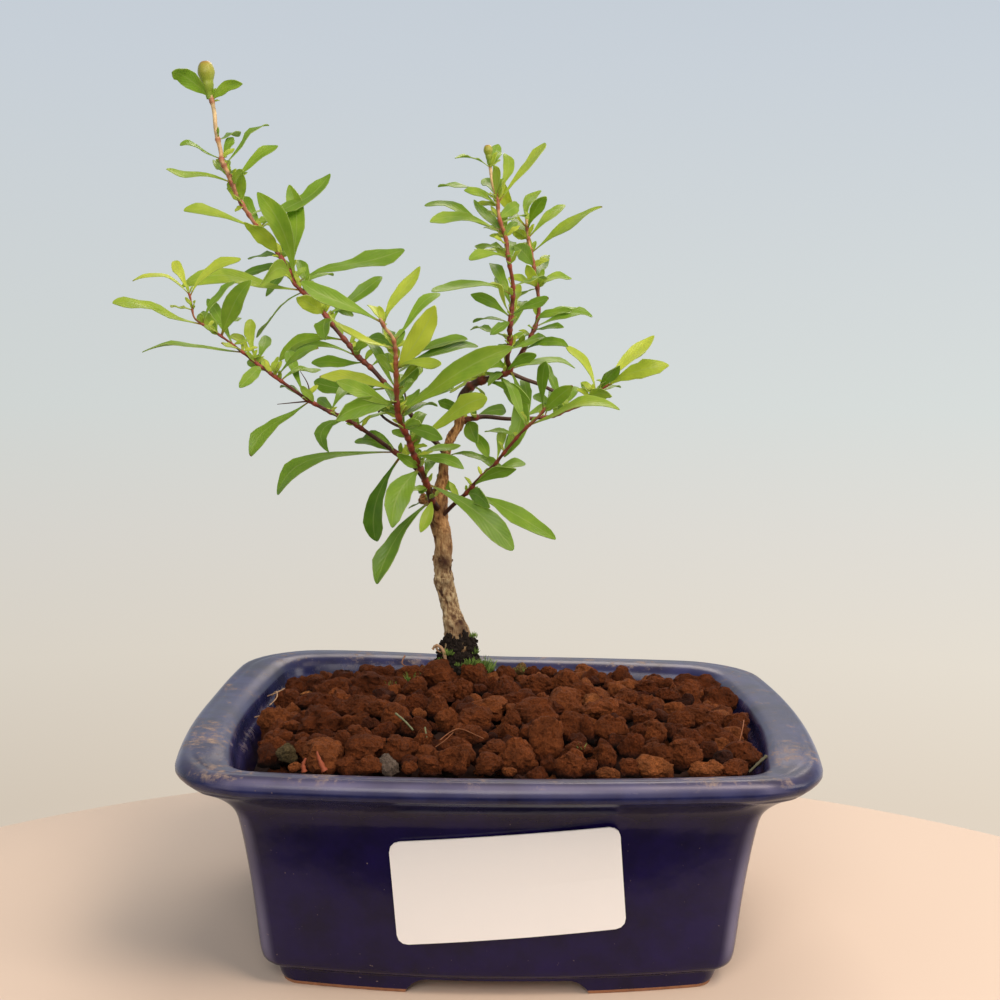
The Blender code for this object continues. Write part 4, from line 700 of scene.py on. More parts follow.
def lava_stone():
    # Crushed red lava: dull, porous, red-brown, a few grains ochre, mossy or grey.
    finish, tree, shader = new_finish(
        "crushed_red_lava", Roughness=0.95, IOR=1.45, Specular_IOR_Level=0.2
    )
    place = add(tree, "ShaderNodeTexCoord").outputs["Object"]
    tone = add(tree, "ShaderNodeAttribute", attribute_name="tone").outputs["Fac"]
    # The tone of each point is lower on a granule's underside: painted shade.
    base = add(tree, "ShaderNodeValToRGB", {"Fac": tone}, stops=[
        (0.0, "#120806"), (0.2, "#3c1c0f"), (0.4, "#56290f"), (0.6, "#703c1d"), (0.85, "#8a512b"),
        (0.91, "#8d633a"), (0.94, "#504526"), (1.0, "#6b5e54"),
    ]).outputs["Color"]
    stain = add(tree, "ShaderNodeTexNoise", {"Vector": place, "Scale": per_metre(3.0), "Detail": 3.0})
    stain = add(tree, "ShaderNodeMapRange", {
        "Value": stain.outputs["Fac"], "From Min": 0.35, "From Max": 0.65, "To Min": 0.7, "To Max": 1.2,
    }).outputs["Result"]
    grit = add(tree, "ShaderNodeTexNoise", {
        "Vector": place, "Scale": per_metre(0.4), "Detail": 8.0, "Roughness": 0.75,
    }).outputs["Fac"]
    # Darker where the grit is low, in the pits of the same bump: painted shade in the pores, over the
    # grain's mottle.
    shade = add(tree, "ShaderNodeMapRange", {
        "Value": grit, "From Min": 0.36, "From Max": 0.62, "To Min": 0.55, "To Max": 1.4,
    }).outputs["Result"]
    shade = add(tree, "ShaderNodeMath", {0: shade, 1: stain}, operation="MULTIPLY").outputs[0]
    colour = add(tree, "ShaderNodeVectorMath", {0: base, 1: shade}, operation="MULTIPLY")
    tree.links.new(colour.outputs[0], shader.inputs["Base Color"])
    bump = add(tree, "ShaderNodeBump", {"Height": grit, "Strength": 1.0, "Distance": 0.9 * MM})
    tree.links.new(bump.outputs["Normal"], shader.inputs["Normal"])
    return finish


def pomegranate_bark():
    # Young pomegranate bark: light tan plates that split along the trunk, brown in the grooves and
    # where the bark is scarred.
    finish, tree, shader = new_finish("pomegranate_bark", Roughness=0.85, IOR=1.45)
    place = add(tree, "ShaderNodeTexCoord").outputs["Object"]
    relief = add(tree, "ShaderNodeAttribute", attribute_name="relief").outputs["Fac"]
    scar = add(tree, "ShaderNodeAttribute", attribute_name="scar").outputs["Fac"]
    stretched = add(tree, "ShaderNodeMapping", {"Vector": place, "Scale": (1.0, 1.0, 0.25)})
    fibres = add(tree, "ShaderNodeTexNoise", {
        "Vector": stretched.outputs["Vector"], "Scale": per_metre(0.45), "Detail": 6.0, "Roughness": 0.65,
    }).outputs["Fac"]
    level = add(tree, "ShaderNodeMath", {0: relief, 1: 0.55, 2: -0.275}, operation="MULTIPLY_ADD")
    level = add(tree, "ShaderNodeMath", {0: fibres, 1: level.outputs[0]}, operation="ADD").outputs[0]
    colour = add(tree, "ShaderNodeValToRGB", {"Fac": level}, stops=[
        (0.26, "#38231a"), (0.36, "#664831"), (0.46, "#8a6c4c"), (0.6, "#b0946c"), (0.74, "#cfb88f"),
    ]).outputs["Color"]
    height = add(tree, "ShaderNodeSeparateXYZ", {"Vector": place}).outputs["Z"]
    young = add(tree, "ShaderNodeMapRange", {
        "Value": height, "From Min": 0.07, "From Max": 0.084, "To Max": 0.85,
    }).outputs["Result"]
    warm = add(tree, "ShaderNodeVectorMath", {0: colour, 1: (1.0, 0.68, 0.44)}, operation="MULTIPLY")
    colour = add(tree, "ShaderNodeMix", {
        "Factor": young, "A": colour, "B": warm.outputs[0],
    }, data_type="RGBA").outputs["Result"]
    patchy = add(tree, "ShaderNodeMath", {0: fibres, 1: 0.5}, operation="ADD").outputs[0]
    scarred = add(tree, "ShaderNodeMath", {0: scar, 1: patchy}, operation="MULTIPLY").outputs[0]
    colour = add(tree, "ShaderNodeMix", {
        "Factor": scarred, "A": colour, "B": "#3b1c0e",
    }, data_type="RGBA", clamp_factor=True).outputs["Result"]
    tree.links.new(colour, shader.inputs["Base Color"])
    bump = add(tree, "ShaderNodeBump", {"Height": fibres, "Strength": 1.0, "Distance": 0.35 * MM})
    tree.links.new(bump.outputs["Normal"], shader.inputs["Normal"])
    return finish


def young_twig():
    # Thin smooth bark of shoots: brown near the trunk, red-brown further out, pale peach where the
    # shoot is still soft, and redder at every joint.
    finish, tree, shader = new_finish("young_red_bark", Roughness=0.5, IOR=1.45)
    along = add(tree, "ShaderNodeAttribute", attribute_name="along").outputs["Fac"]
    joint = add(tree, "ShaderNodeAttribute", attribute_name="joint").outputs["Fac"]
    place = add(tree, "ShaderNodeTexCoord").outputs["Object"]
    mottle = add(tree, "ShaderNodeTexNoise", {"Vector": place, "Scale": per_metre(1.6), "Detail": 4.0})
    colour = add(tree, "ShaderNodeValToRGB", {"Fac": along}, stops=[
        (0.0, "#4c2f1f"), (0.15, "#3f2216"), (0.4, "#522316"), (0.6, "#733522"), (0.75, "#a9744f"),
        (0.87, "#c9a477"), (1.0, "#d2bd8d"),
    ]).outputs["Color"]
    colour = add(tree, "ShaderNodeMix", {
        "Factor": joint, "A": colour, "B": "#8f3d2a",
    }, data_type="RGBA").outputs["Result"]
    shade = add(tree, "ShaderNodeMapRange", {
        "Value": mottle.outputs["Fac"], "From Min": 0.3, "From Max": 0.7, "To Min": 0.65, "To Max": 1.35,
    }).outputs["Result"]
    colour = add(tree, "ShaderNodeVectorMath", {0: colour, 1: shade}, operation="MULTIPLY")
    tree.links.new(colour.outputs[0], shader.inputs["Base Color"])
    bump = add(tree, "ShaderNodeBump", {
        "Height": mottle.outputs["Fac"], "Strength": 0.5, "Distance": 0.2 * MM,
    })
    tree.links.new(bump.outputs["Normal"], shader.inputs["Normal"])
    return finish


def leaf_finish(name, old, middle, young, rib, gloss, through):
    # Thin living leaf: waxy on its upper side, dull beneath, and it lets light through. The rib and
    # the margin are a little paler than the blade, the stalk is reddish, a few tips are scorched.
    finish, tree, shader = new_finish(name, Roughness=gloss, IOR=1.45, Specular_IOR_Level=0.55)
    spot = add(tree, "ShaderNodeUVMap", uv_map="UVMap").outputs["UV"]
    across, up, _ = add(tree, "ShaderNodeSeparateXYZ", {"Vector": spot}).outputs
    age = add(tree, "ShaderNodeAttribute", attribute_name="age").outputs["Fac"]
    place = add(tree, "ShaderNodeTexCoord").outputs["Object"]
    cells = add(tree, "ShaderNodeTexNoise", {"Vector": place, "Scale": per_metre(3), "Detail": 5.0})
    cells = cells.outputs["Fac"]
    drift = add(tree, "ShaderNodeMath", {0: cells, 1: 0.35, 2: age}, operation="MULTIPLY_ADD")
    drift = add(tree, "ShaderNodeMath", {0: drift.outputs[0], 1: 0.175}, operation="SUBTRACT")
    blade = add(tree, "ShaderNodeValToRGB", {"Fac": drift.outputs[0]}, stops=[
        (0.1, old), (0.5, middle), (0.95, young),
    ]).outputs["Color"]
    off_middle = add(tree, "ShaderNodeMath", {0: across, 1: 0.5}, operation="SUBTRACT").outputs[0]
    off_middle = add(tree, "ShaderNodeMath", {0: off_middle}, operation="ABSOLUTE").outputs[0]
    ribbed = add(tree, "ShaderNodeMapRange", {
        "Value": off_middle, "From Min": 0.01, "From Max": 0.05, "To Min": 0.3, "To Max": 0.0,
    }).outputs["Result"]
    edged = add(tree, "ShaderNodeMapRange", {
        "Value": off_middle, "From Min": 0.45, "From Max": 0.5, "To Max": 0.55,
    }).outputs["Result"]
    pale = add(tree, "ShaderNodeMath", {0: ribbed, 1: edged}, operation="ADD").outputs[0]
    stalk = add(tree, "ShaderNodeMapRange", {
        "Value": up, "From Min": 0.03, "From Max": 0.13, "To Min": 0.85, "To Max": 0.0,
    }).outputs["Result"]
    scorch = add(tree, "ShaderNodeAttribute", attribute_name="scorch").outputs["Fac"]
    tip = add(tree, "ShaderNodeMath", {0: cells, 1: 0.3, 2: up}, operation="MULTIPLY_ADD").outputs[0]
    tip = add(tree, "ShaderNodeMapRange", {
        "Value": tip, "From Min": 1.08, "From Max": 1.14, "To Max": 0.85,
    }).outputs["Result"]
    dry = add(tree, "ShaderNodeMath", {0: scorch, 1: tip}, operation="MULTIPLY").outputs[0]
    for share, layer in ((pale, rib), (stalk, "#b06a48"), (dry, "#8a5c2c")):
        blade = add(tree, "ShaderNodeMix", {
            "Factor": share, "A": blade, "B": layer,
        }, data_type="RGBA").outputs["Result"]
    tree.links.new(blade, shader.inputs["Base Color"])
    slant = add(tree, "ShaderNodeMath", {0: off_middle, 1: -0.55, 2: up}, operation="MULTIPLY_ADD")
    veins = add(tree, "ShaderNodeMath", {0: slant.outputs[0], 1: 75.0}, operation="MULTIPLY")
    veins = add(tree, "ShaderNodeMath", {0: veins.outputs[0]}, operation="SINE")
    bump = add(tree, "ShaderNodeBump", {
        "Height": veins.outputs[0], "Strength": 0.15, "Distance": 0.1 * MM,
    })
    tree.links.new(bump.outputs["Normal"], shader.inputs["Normal"])
    glow = add(tree, "ShaderNodeBsdfTranslucent", {"Color": blade})
    mixed = add(tree, "ShaderNodeMixShader", {0: through, 1: shader.outputs[0], 2: glow.outputs[0]})
    tree.links.new(mixed.outputs[0], tree.nodes["Material Output"].inputs["Surface"])
    return finish


def bud_finish():
    # Firm waxy flower bud: yellow-green, its tip brownish and dry.
    finish, tree, shader = new_finish("waxy_flower_bud", Roughness=0.45, IOR=1.45)
    along = add(tree, "ShaderNodeAttribute", attribute_name="along").outputs["Fac"]
    colour = add(tree, "ShaderNodeValToRGB", {"Fac": along}, stops=[
        (0.0, "#7b9a34"), (0.5, "#8f9c34"), (0.8, "#9f9a3c"), (0.93, "#a5803f"), (1.0, "#7c4a30"),
    ]).outputs["Color"]
    tree.links.new(colour, shader.inputs["Base Color"])
    return finish


def moss_finish():
    # Living moss: soft and dull, dark at the foot of each shoot and yellow-green in new growth.
    finish, tree, shader = new_finish("cushion_moss", Roughness=0.9, IOR=1.4)
    tone = add(tree, "ShaderNodeAttribute", attribute_name="tone").outputs["Fac"]
    colour = add(tree, "ShaderNodeValToRGB", {"Fac": tone}, stops=[
        (0.0, "#33451b"), (0.5, "#668436"), (1.0, "#b4c774"),
    ]).outputs["Color"]
    tree.links.new(colour, shader.inputs["Base Color"])
    return finish


COBALT = cobalt_glaze()
CLAY = unglazed_stoneware()
LAVA = lava_stone()
BARK = pomegranate_bark()
TWIG = young_twig()
LEAF = leaf_finish("waxy_leaf_top", "#668f36", "#94b940", "#d6e25a", "#c6d586", 0.38, 0.5)
LEAF_BELOW = leaf_finish("dull_leaf_underside", "#86ab58", "#a9c563", "#d5e072", "#d3e0a6", 0.6, 0.5)
BUD = bud_finish()
MOSS = moss_finish()
# Coated paper label, bright white with a slight sheen.
PAPER = new_finish("coated_label_paper", Base_Color="#eeeceb", Roughness=0.35, IOR=1.5)[0]
# Moulded polyethylene mesh, matt black.
MESH_PLASTIC = new_finish("moulded_black_plastic", Base_Color="#1b1b1c", Roughness=0.55, IOR=1.5)[0]
# Dry rootlets and dead twigs: pale straw brown, dull.
DRY_WOOD = new_finish("dry_rootlet", Base_Color="#a08061", Roughness=0.8, IOR=1.45)[0]
# Fresh fine root: red-brown, dull.
ROOT = new_finish("fresh_rootlet", Base_Color="#83502f", Roughness=0.8, IOR=1.45)[0]
# Bleached straw with a little green left in it.
STRAW = new_finish("green_straw", Base_Color="#6f7350", Roughness=0.7, IOR=1.45)[0]
# Dead blade of grass, grey-green.
FADED_BLADE = new_finish("faded_grass_blade", Base_Color="#4b4833", Roughness=0.7, IOR=1.45)[0]
# Fresh red-brown splinters of bark.
SPLINTER = new_finish("red_bark_splinter", Base_Color="#8a4327", Roughness=0.7, IOR=1.45)[0]
# Crumbs of decayed peat at the collar of the trunk: nearly black, dull.
HUMUS = new_finish("decayed_peat", Base_Color="#1b130e", Roughness=1.0, IOR=1.4)[0]
# Soil between the granules: dark, damp and dull.
DARK_SOIL = new_finish("damp_lava_dust", Base_Color="#2a130a", Roughness=1.0, IOR=1.4)[0]


# ---------------------------------------------------------------- pot


def ease(share):
    """Smooth step from 0 to 1."""
    share = min(1.0, max(0.0, share))
    return share * share * (3 - 2 * share)


def bowed(x, y, half_length, half_depth):
    """Push a point of the plain outline outwards, most at the middle of each side."""
    across = x / half_length
    along = y / half_depth
    return (
        x + BOW_X * across * (1 - along * along),
        y + BOW_Y * along * (1 - across * across),
    )


def unbowed(x, y, half_length, half_depth):
    """How far a point lies from the middle planes once the bow of the walls is taken off."""
    out_x = abs(x) - BOW_X * (1 - (y / half_depth) ** 2)
    out_y = abs(y) - BOW_Y * (1 - (x / half_length) ** 2)
    return out_x, out_y


def plan_outline(half_length, half_depth, corner):
    """Rounded rectangle whose four sides bow outwards, as a closed list of points."""
    points = []
    steps = [SHORT_SIDE_STEPS, LONG_SIDE_STEPS, SHORT_SIDE_STEPS, LONG_SIDE_STEPS]
    signs = [(1, -1), (1, 1), (-1, 1), (-1, -1)]
    for index, (sx, sy) in enumerate(signs):
        centre = Vector((sx * (half_length - corner), sy * (half_depth - corner)))
        start = (index - 1) * math.pi / 2
        for step in range(CORNER_STEPS + 1):
            angle = start + step * math.pi / 2 / CORNER_STEPS
            points.append(centre + corner * Vector((math.cos(angle), math.sin(angle))))
        next_sx, next_sy = signs[(index + 1) % 4]
        next_centre = Vector((next_sx * (half_length - corner), next_sy * (half_depth - corner)))
        angle = start + math.pi / 2
        first = points[-1]
        last = next_centre + corner * Vector((math.cos(angle), math.sin(angle)))
        for step in range(1, steps[index]):
            points.append(first.lerp(last, step / steps[index]))
    return [bowed(point.x, point.y, half_length, half_depth) for point in points]


def curve_through(points, pieces):
    """Smooth line through points of any number of values, with each span cut into pieces."""
    line = []
    last = len(points) - 1
    for i in range(last):
        before, start, end, after = (points[min(max(k, 0), last)] for k in (i - 1, i, i + 1, i + 2))
        for step in range(pieces):
            t = step / pieces
            value = []
            for a, b, c, d in zip(before, start, end, after):
                value.append(0.5 * (
                    2 * b + (c - a) * t + (2 * a - 5 * b + 4 * c - d) * t * t
                    + (3 * b - a - 3 * c + d) * t ** 3
                ))
            line.append(tuple(value))
    line.append(tuple(points[last]))
    return line


def lip_sections():
    sections = []
    for degrees in LIP_DEGREES:
        out = LIP_RADIUS * math.cos(math.radians(degrees))
        up = LIP_RADIUS * math.sin(math.radians(degrees))
        sections.append((
            LIP_HALF_LENGTH - LIP_RADIUS + out, LIP_HALF_DEPTH - LIP_RADIUS + out,
            POT_HEIGHT - LIP_RADIUS + up, LIP_CORNER,
        ))
    return sections


def raise_wall(name, sections):
    """Draw a closed outline and extrude it ring by ring through the sections, then close its ends."""
    outlines = [plan_outline(length, depth, corner) for length, depth, _, corner in sections]
    bpy.ops.mesh.primitive_circle_add(vertices=len(outlines[0]), radius=LIP_HALF_LENGTH)
    wall = new_piece(name)
    bpy.ops.object.mode_set(mode="EDIT")
    shape = bmesh.from_edit_mesh(wall.data)
    order = shape.verts.layers.int.new("order")
    shape.verts.ensure_lookup_table()
    for index, vert in enumerate(shape.verts):
        vert[order] = index
    bpy.ops.mesh.select_all(action="SELECT")
    for count, (section, outline) in enumerate(zip(sections, outlines)):
        if count:
            bpy.ops.mesh.extrude_region_move()
            shape = bmesh.from_edit_mesh(wall.data)
            order = shape.verts.layers.int["order"]
        for vert in shape.verts:
            if vert.select:
                vert.co = (*outline[vert[order]], section[2])
        bmesh.update_edit_mesh(wall.data)
    bpy.ops.mesh.edge_face_add()
    select_open_edges(wall)
    close_opening()
    return wall


def cut_with(item, cutters):
    for cutter in cutters:
        apply_modifier(item, "BOOLEAN", operation="DIFFERENCE", object=cutter, solver="EXACT")
    remove(*cutters)


def foot_arch():
    bpy.ops.mesh.primitive_cube_add(size=1.0, scale=(2 * ARCH_HALF_WIDTH, 110.0, 2 * ARCH_HEIGHT))
    arch = new_piece("arch")
    bpy.ops.object.mode_set(mode="EDIT")
    bpy.ops.mesh.select_mode(type="EDGE")
    bpy.ops.mesh.select_all(action="DESELECT")
    shape = bmesh.from_edit_mesh(arch.data)
    for vert in shape.verts:
        vert.co.x *= 0.92 if vert.co.z > 0 else 1.08
    for edge in shape.edges:
        start, end = (vert.co for vert in edge.verts)
        edge.select_set(start.z > 0 and end.z > 0 and abs(start.y - end.y) > 1)
    bpy.ops.mesh.bevel(offset=2.7, segments=6)
    bpy.ops.object.mode_set(mode="OBJECT")
    return arch


def make_pot():
    sections = curve_through(FOOT_INSIDE + OUTSIDE + lip_sections() + INSIDE, 3)
    pot = raise_wall("glazed_pot", sections)
    cutters = [foot_arch()]
    for x in (-DRAIN_X, DRAIN_X):
        bpy.ops.mesh.primitive_cylinder_add(
            vertices=48, radius=DRAIN_RADIUS, depth=20.0, location=(x, 0.0, 5.0)
        )
        cutters.append(new_piece("drain"))
    cut_with(pot, cutters)
    close_seams(pot)
    for vert in pot.data.vertices:
        x, y, z = vert.co
        # The lift grows towards the back left corner, and the slope towards the middle of the front.
        lift = ease((5 - x) / 55) * ease((y - 5) / 40) * ease((z - 25) / 19)
        out_x, out_y = unbowed(x, y, LIP_HALF_LENGTH, LIP_HALF_DEPTH)
        inward = min(LIP_HALF_LENGTH - out_x, LIP_HALF_DEPTH - out_y)
        slump = FRONT_SLOPE * min(SLOPE_WIDTH, max(0.0, inward - SLOPE_START))
        slump *= ease((-28 - y) / 12) * ease((z - 34) / 8)
        vert.co.z += RIM_LIFT * lift - slump
    pot.data.materials.append(COBALT)
    pot.data.materials.append(CLAY)
    for face in pot.data.polygons:
        out_x, out_y = unbowed(face.center.x, face.center.y, FOOT_HALF_LENGTH, FOOT_HALF_DEPTH)
        inside = out_x < FOOT_HALF_LENGTH - 3 and out_y < FOOT_HALF_DEPTH - 3
        under = face.normal.z < -0.5 and face.center.z < UNGLAZED_FOOT and inside
        if under or face.center.z < UNGLAZED_BELOW:
            face.material_index = 1
    thin_glaze_and_highlight = []
    dusty = []
    for vert in pot.data.vertices:
        x, y, z = vert.co
        out_x, out_y = unbowed(x, y, LIP_HALF_LENGTH, LIP_HALF_DEPTH)
        outside = max(out_x - LIP_HALF_LENGTH, out_y - LIP_HALF_DEPTH) + CREST_INSET
        crest = 0.0
        if z > POT_HEIGHT - LIP_RADIUS:
            crest = CREST_PALENESS * math.exp(-(outside / CREST_WIDTH) ** 2)
        # On the body's corners the paleness is thin glaze and a painted highlight, strongest halfway
        # between side and front.
        if CORNER_LOW < z < CORNER_HIGH:
            crest = CORNER_PALENESS_AND_HIGHLIGHT * abs(2 * vert.normal.x * vert.normal.y) ** 4
        patch = 0.75 + 0.5 * noise.noise(Vector((x, y, z)) * 0.12)
        thin_glaze_and_highlight.append(crest * patch)
        dusty.append(FILM + FRONT_FILM * ease((-38 - y) / 8))
    mark_points(pot, "thin_glaze_and_highlight", thin_glaze_and_highlight)
    mark_points(pot, "dusty", dusty)
    smooth(pot, 40)
    finish_piece(pot, "cobalt_glaze", "pot")


# ---------------------------------------------------------------- soil


def plan_room(x, y, inset):
    """How far inside the pot's inner wall a point lies, in millimetres."""
    half_length = SOIL_HALF_LENGTH - inset
    half_depth = SOIL_HALF_DEPTH - inset
    bound_x = half_length + BOW_X * (1 - (y / half_depth) ** 2)
    bound_y = half_depth + BOW_Y * (1 - (x / half_length) ** 2)
    if x < 0:
        bound_x -= BARE_LEFT
    if y > 0:
        bound_y -= BARE_BACK
    return min(bound_x - abs(x), bound_y - abs(y))


def heap_height(x, y):
    """Height of the heap's surface: level at the walls, highest round the trunk."""
    edge = max(abs(x) / (SOIL_HALF_LENGTH + BOW_X), abs(y) / (SOIL_HALF_DEPTH + BOW_Y))
    away = math.hypot(x - TRUNK_ROUTE[0][0], y - TRUNK_ROUTE[0][1])
    mound = MOUND_RISE * math.exp(-((away / MOUND_SPREAD) ** 2))
    return SOIL_EDGE + (HEAP_RISE + mound) * (1 - edge ** 4)


def make_soil_bed():
    """Closed body of dark soil under the granules."""
    bpy.ops.mesh.primitive_grid_add(x_subdivisions=BED_CELLS, y_subdivisions=BED_CELLS, size=2.0)
    bed = new_piece("soil_bed")
    for vert in bed.data.vertices:
        u, v, _ = vert.co
        ring = max(abs(u), abs(v))
        if ring:
            corner = 1 - 0.055 * (min(abs(u), abs(v)) / ring) ** 8
            x, y = bowed(
                BED_HALF_LENGTH * corner * u / ring, SOIL_HALF_DEPTH * corner * v / ring,
                BED_HALF_LENGTH, SOIL_HALF_DEPTH,
            )
        else:
            x, y = 0.0, 0.0
        x *= ring
        y *= ring
        lump = BED_LUMPS * noise.noise(Vector((x, y, 0.0)) * 0.35)
        vert.co = (x, y, heap_height(x, y) - BED_DEPTH + lump - BED_EDGE_DROP * ring ** 12)
    bpy.ops.object.mode_set(mode="EDIT")
    select_open_edges(bed)
    bpy.ops.mesh.extrude_region_move()
    shape = bmesh.from_edit_mesh(bed.data)
    for vert in shape.verts:
        if vert.select:
            vert.co = (vert.co.x * 0.9, vert.co.y * 0.95, BED_FLOOR)
    bmesh.update_edit_mesh(bed.data)
    close_opening()
    bed.data.materials.append(DARK_SOIL)
    smooth(bed, 60)
    finish_piece(bed, "lava_granules", "soil")


# Relief of a granule: name, size, depth of the pattern, creased or soft, and strength.
GRANULE_RELIEF = (
    ("lobes", 1.3, 0, False, 0.48), ("dents", 0.5, 1, False, 0.38), ("crumbs", 0.25, 2, True, -0.34),
)
BROKEN_SIDES = 12
SIDE_REACH = (0.52, 0.84)  # least and greatest distance of a broken side from the middle


def granule_forms(count, detail):
    """Rough lumps of about 1 mm radius: balls broken flat on many sides, then pitted at random."""
    forms = []
    for index in range(count):
        bpy.ops.mesh.primitive_ico_sphere_add(subdivisions=detail, radius=1.0)
        form = new_piece(f"granule_form_{index}")
        dice = random.Random(100 * detail + index)
        place = Vector(dice.uniform(-50, 50) for _ in range(3))
        for _ in range(BROKEN_SIDES):
            way = Vector(dice.uniform(-1, 1) for _ in range(3)).normalized()
            reach = dice.uniform(*SIDE_REACH)
            for vert in form.data.vertices:
                over = vert.co.dot(way) - reach
                if over > 0:
                    vert.co -= way * over
        for vert in form.data.vertices:
            vert.co += place
        for name, size, depth, creased, strength in GRANULE_RELIEF:
            pattern = cloud(name, size, depth, creased)
            apply_modifier(form, "DISPLACE", texture=pattern, strength=strength, mid_level=0.5)
        for vert in form.data.vertices:
            vert.co -= place
        forms.append(form)
    return forms


def crown(y):
    """How far granules may stand above the heap's surface: less towards the back wall."""
    return CROWN - CROWN_SINK * min(1.0, max(0.0, (y - 16.0) / 18.0))


def drop_granules():
    """Let small granules settle one by one into the lowest free place between the big ones."""
    dice = random.Random(11)
    settled = []
    cells = {}

    def settle(place, radius):
        settled.append((place, radius))
        cells.setdefault((int(place.x // 10), int(place.y // 10)), []).append((place, radius))

    for x, y, z, half_width, half_height, _ in TOP_GRANULES:
        settle(Vector((x, y, z)), 0.5 * (half_width + half_height))
    first = len(settled)
    trunk_x, trunk_y = TRUNK_ROUTE[0][:2]
    for _ in range(DROPPED):
        radius = dice.triangular(*SMALL_RADIUS)
        best = None
        for _ in range(PLACES_TRIED):
            x, y = (dice.uniform(-half, half) for half in DROP_FIELD)
            room = plan_room(x, y, WALL_GAP)
            if room + (FRONT_STRIP if y < -30 else 0.0) < 0.9 * radius:
                continue
            if math.hypot(x - trunk_x, y - trunk_y) < TRUNK_CLEARANCE + 0.8 * radius:
                continue
            z = heap_height(x, y) - BED_DEPTH + 0.3 * radius
            column = int(x // 10)
            row = int(y // 10)
            for i in (column - 1, column, column + 1):
                for j in (row - 1, row, row + 1):
                    for place, other in cells.get((i, j), ()):
                        reach = PACKING * (radius + other)
                        apart = (x - place.x) ** 2 + (y - place.y) ** 2
                        if apart < reach * reach:
                            z = max(z, place.z + math.sqrt(reach * reach - apart))
            if abs(x) > END_WALL and room < 0.9 * radius + END_SLOPE * max(0.0, SLOPE_TOP - z):
                continue
            over = z + 0.9 * radius - heap_height(x, y)
            if over < crown(y) - 0.2 and (best is None or over < best[0]):
                best = (over, Vector((x, y, z)))
        if best:
            settle(best[1], radius)
    return settled[first:]


def lay_granule(form, place, size, tone, dice, underside_shade=0.0):
    """Copy a form to its place, turned at random, and darken its underside with painted shade."""
    granule = own_copy(form)
    turn = Matrix.Rotation(dice.uniform(0, math.tau), 4, "Z")
    tip = Matrix.Rotation(dice.uniform(-0.5, 0.5), 4, "X")
    shape = Matrix.Diagonal((*size, 1.0))
    granule.data.transform(Matrix.Translation(place) @ shape @ turn @ tip)
    tones = []
    for vert in granule.data.vertices:
        # Painted shade: the lower a point lies in its granule, the darker its tone.
        below = max(0.0, (place.z - vert.co.z) / size[2])
        tones.append(max(0.0, tone - underside_shade * below) if tone < ODD_TONE else tone)
    mark_points(granule, "tone", tones)
    return granule


def make_granules():
    dice = random.Random(23)
    top_forms = granule_forms(14, 4)
    forms = granule_forms(12, 3)
    buried_forms = granule_forms(4, 2)
    lumps = []
    pieces = [[], []]
    for index, (x, y, z, half_width, half_height, tone) in enumerate(TOP_GRANULES):
        size = (BIG_LENGTH * half_width, BIG_WIDTH * half_width, BIG_HEIGHT * half_height)
        form = top_forms[index % len(top_forms)]
        lumps.append(lay_granule(form, Vector((x, y, z)), size, tone, dice, UNDERSIDE_PAINTED_SHADE))
    for place, radius in drop_granules():
        depth = heap_height(place.x, place.y) + crown(place.y) - place.z - radius
        form = dice.choice(buried_forms if depth > BURIED else forms)
        size = [radius * dice.uniform(*spread) for spread in SMALL_SPREADS]
        tone = min(LIGHTEST_TONE, max(DARKEST_TONE, dice.gauss(USUAL_TONE, TONE_SPREAD)))
        made = lay_granule(form, place, size, tone, dice, UNDERSIDE_PAINTED_SHADE)
        pieces[0 if place.x < 0 else 1].append(made)
    remove(*top_forms, *forms, *buried_forms)
    for name, parts in (("left", pieces[0]), ("right", pieces[1]), ("top", lumps)):
        granules = join(f"lava_granules_{name}", parts)
        granules.data.materials.append(LAVA)
        smooth(granules, 16)
        finish_piece(granules, "lava_granules")


# ---------------------------------------------------------------- wood


def draw_stem(name, line, finish, roundness, marks=None):
    """A round stem along a line of (x, y, z, radius): a bevelled curve turned into a mesh."""
    bpy.ops.curve.primitive_bezier_curve_add()
    holder = bpy.context.object
    curve = holder.data
    curve.splines.clear()
    curve.dimensions = "3D"
    curve.bevel_depth = 1.0
    curve.bevel_resolution = roundness
    curve.use_fill_caps = True
    spline = curve.splines.new("POLY")
    spline.points.add(len(line) - 1)
    for point, (x, y, z, radius) in zip(spline.points, line):
        point.co = (x, y, z, 1.0)
        point.radius = radius
    select_only(holder)
    bpy.ops.object.convert(target="MESH")
    stem = new_piece(name)
    close_seams(stem)
    if marks is None:
        marks = {"along": [index / (len(line) - 1) for index in range(len(line))]}
    middles = [Vector(point[:3]) for point in line]
    nearest = []
    for vert in stem.data.vertices:
        nearest.append(min(range(len(line)), key=lambda i: (vert.co - middles[i]).length_squared))
    for key, values in marks.items():
        mark_points(stem, key, [values[index] for index in nearest])
    stem.data.materials.clear()
    stem.data.materials.append(finish)
    return stem


def roughen_bark(item):
    """Raise plates of bark that split along the wood, and note relief and scars for the finish."""
    relief = []
    scars = []
    for vert in item.data.vertices:
        spot = Vector([stretch * value for stretch, value in zip(PLATE_STRETCH, vert.co)])
        plates = noise.ridged_multi_fractal(
            spot, 0.9, 2.1, 4, 1.0, 2.0, noise_basis="PERLIN_ORIGINAL",
        )
        plates = min(1.0, max(0.0, 0.55 * plates))
        lumps = noise.noise(vert.co * 0.4)
        scar = 0.0
        for middle, reach, depth in BARK_SCARS:
            away = (vert.co - Vector(middle)).length / reach
            scar = max(scar, depth * math.exp(-away * away))
        relief.append(plates)
        scars.append(scar)
        out = PLATE_RELIEF * plates - PLATE_GROOVE + LUMP_RELIEF * lumps - SCAR_DEPTH * scar
        vert.co += vert.normal * out
    mark_points(item, "relief", relief)
    mark_points(item, "scar", scars)


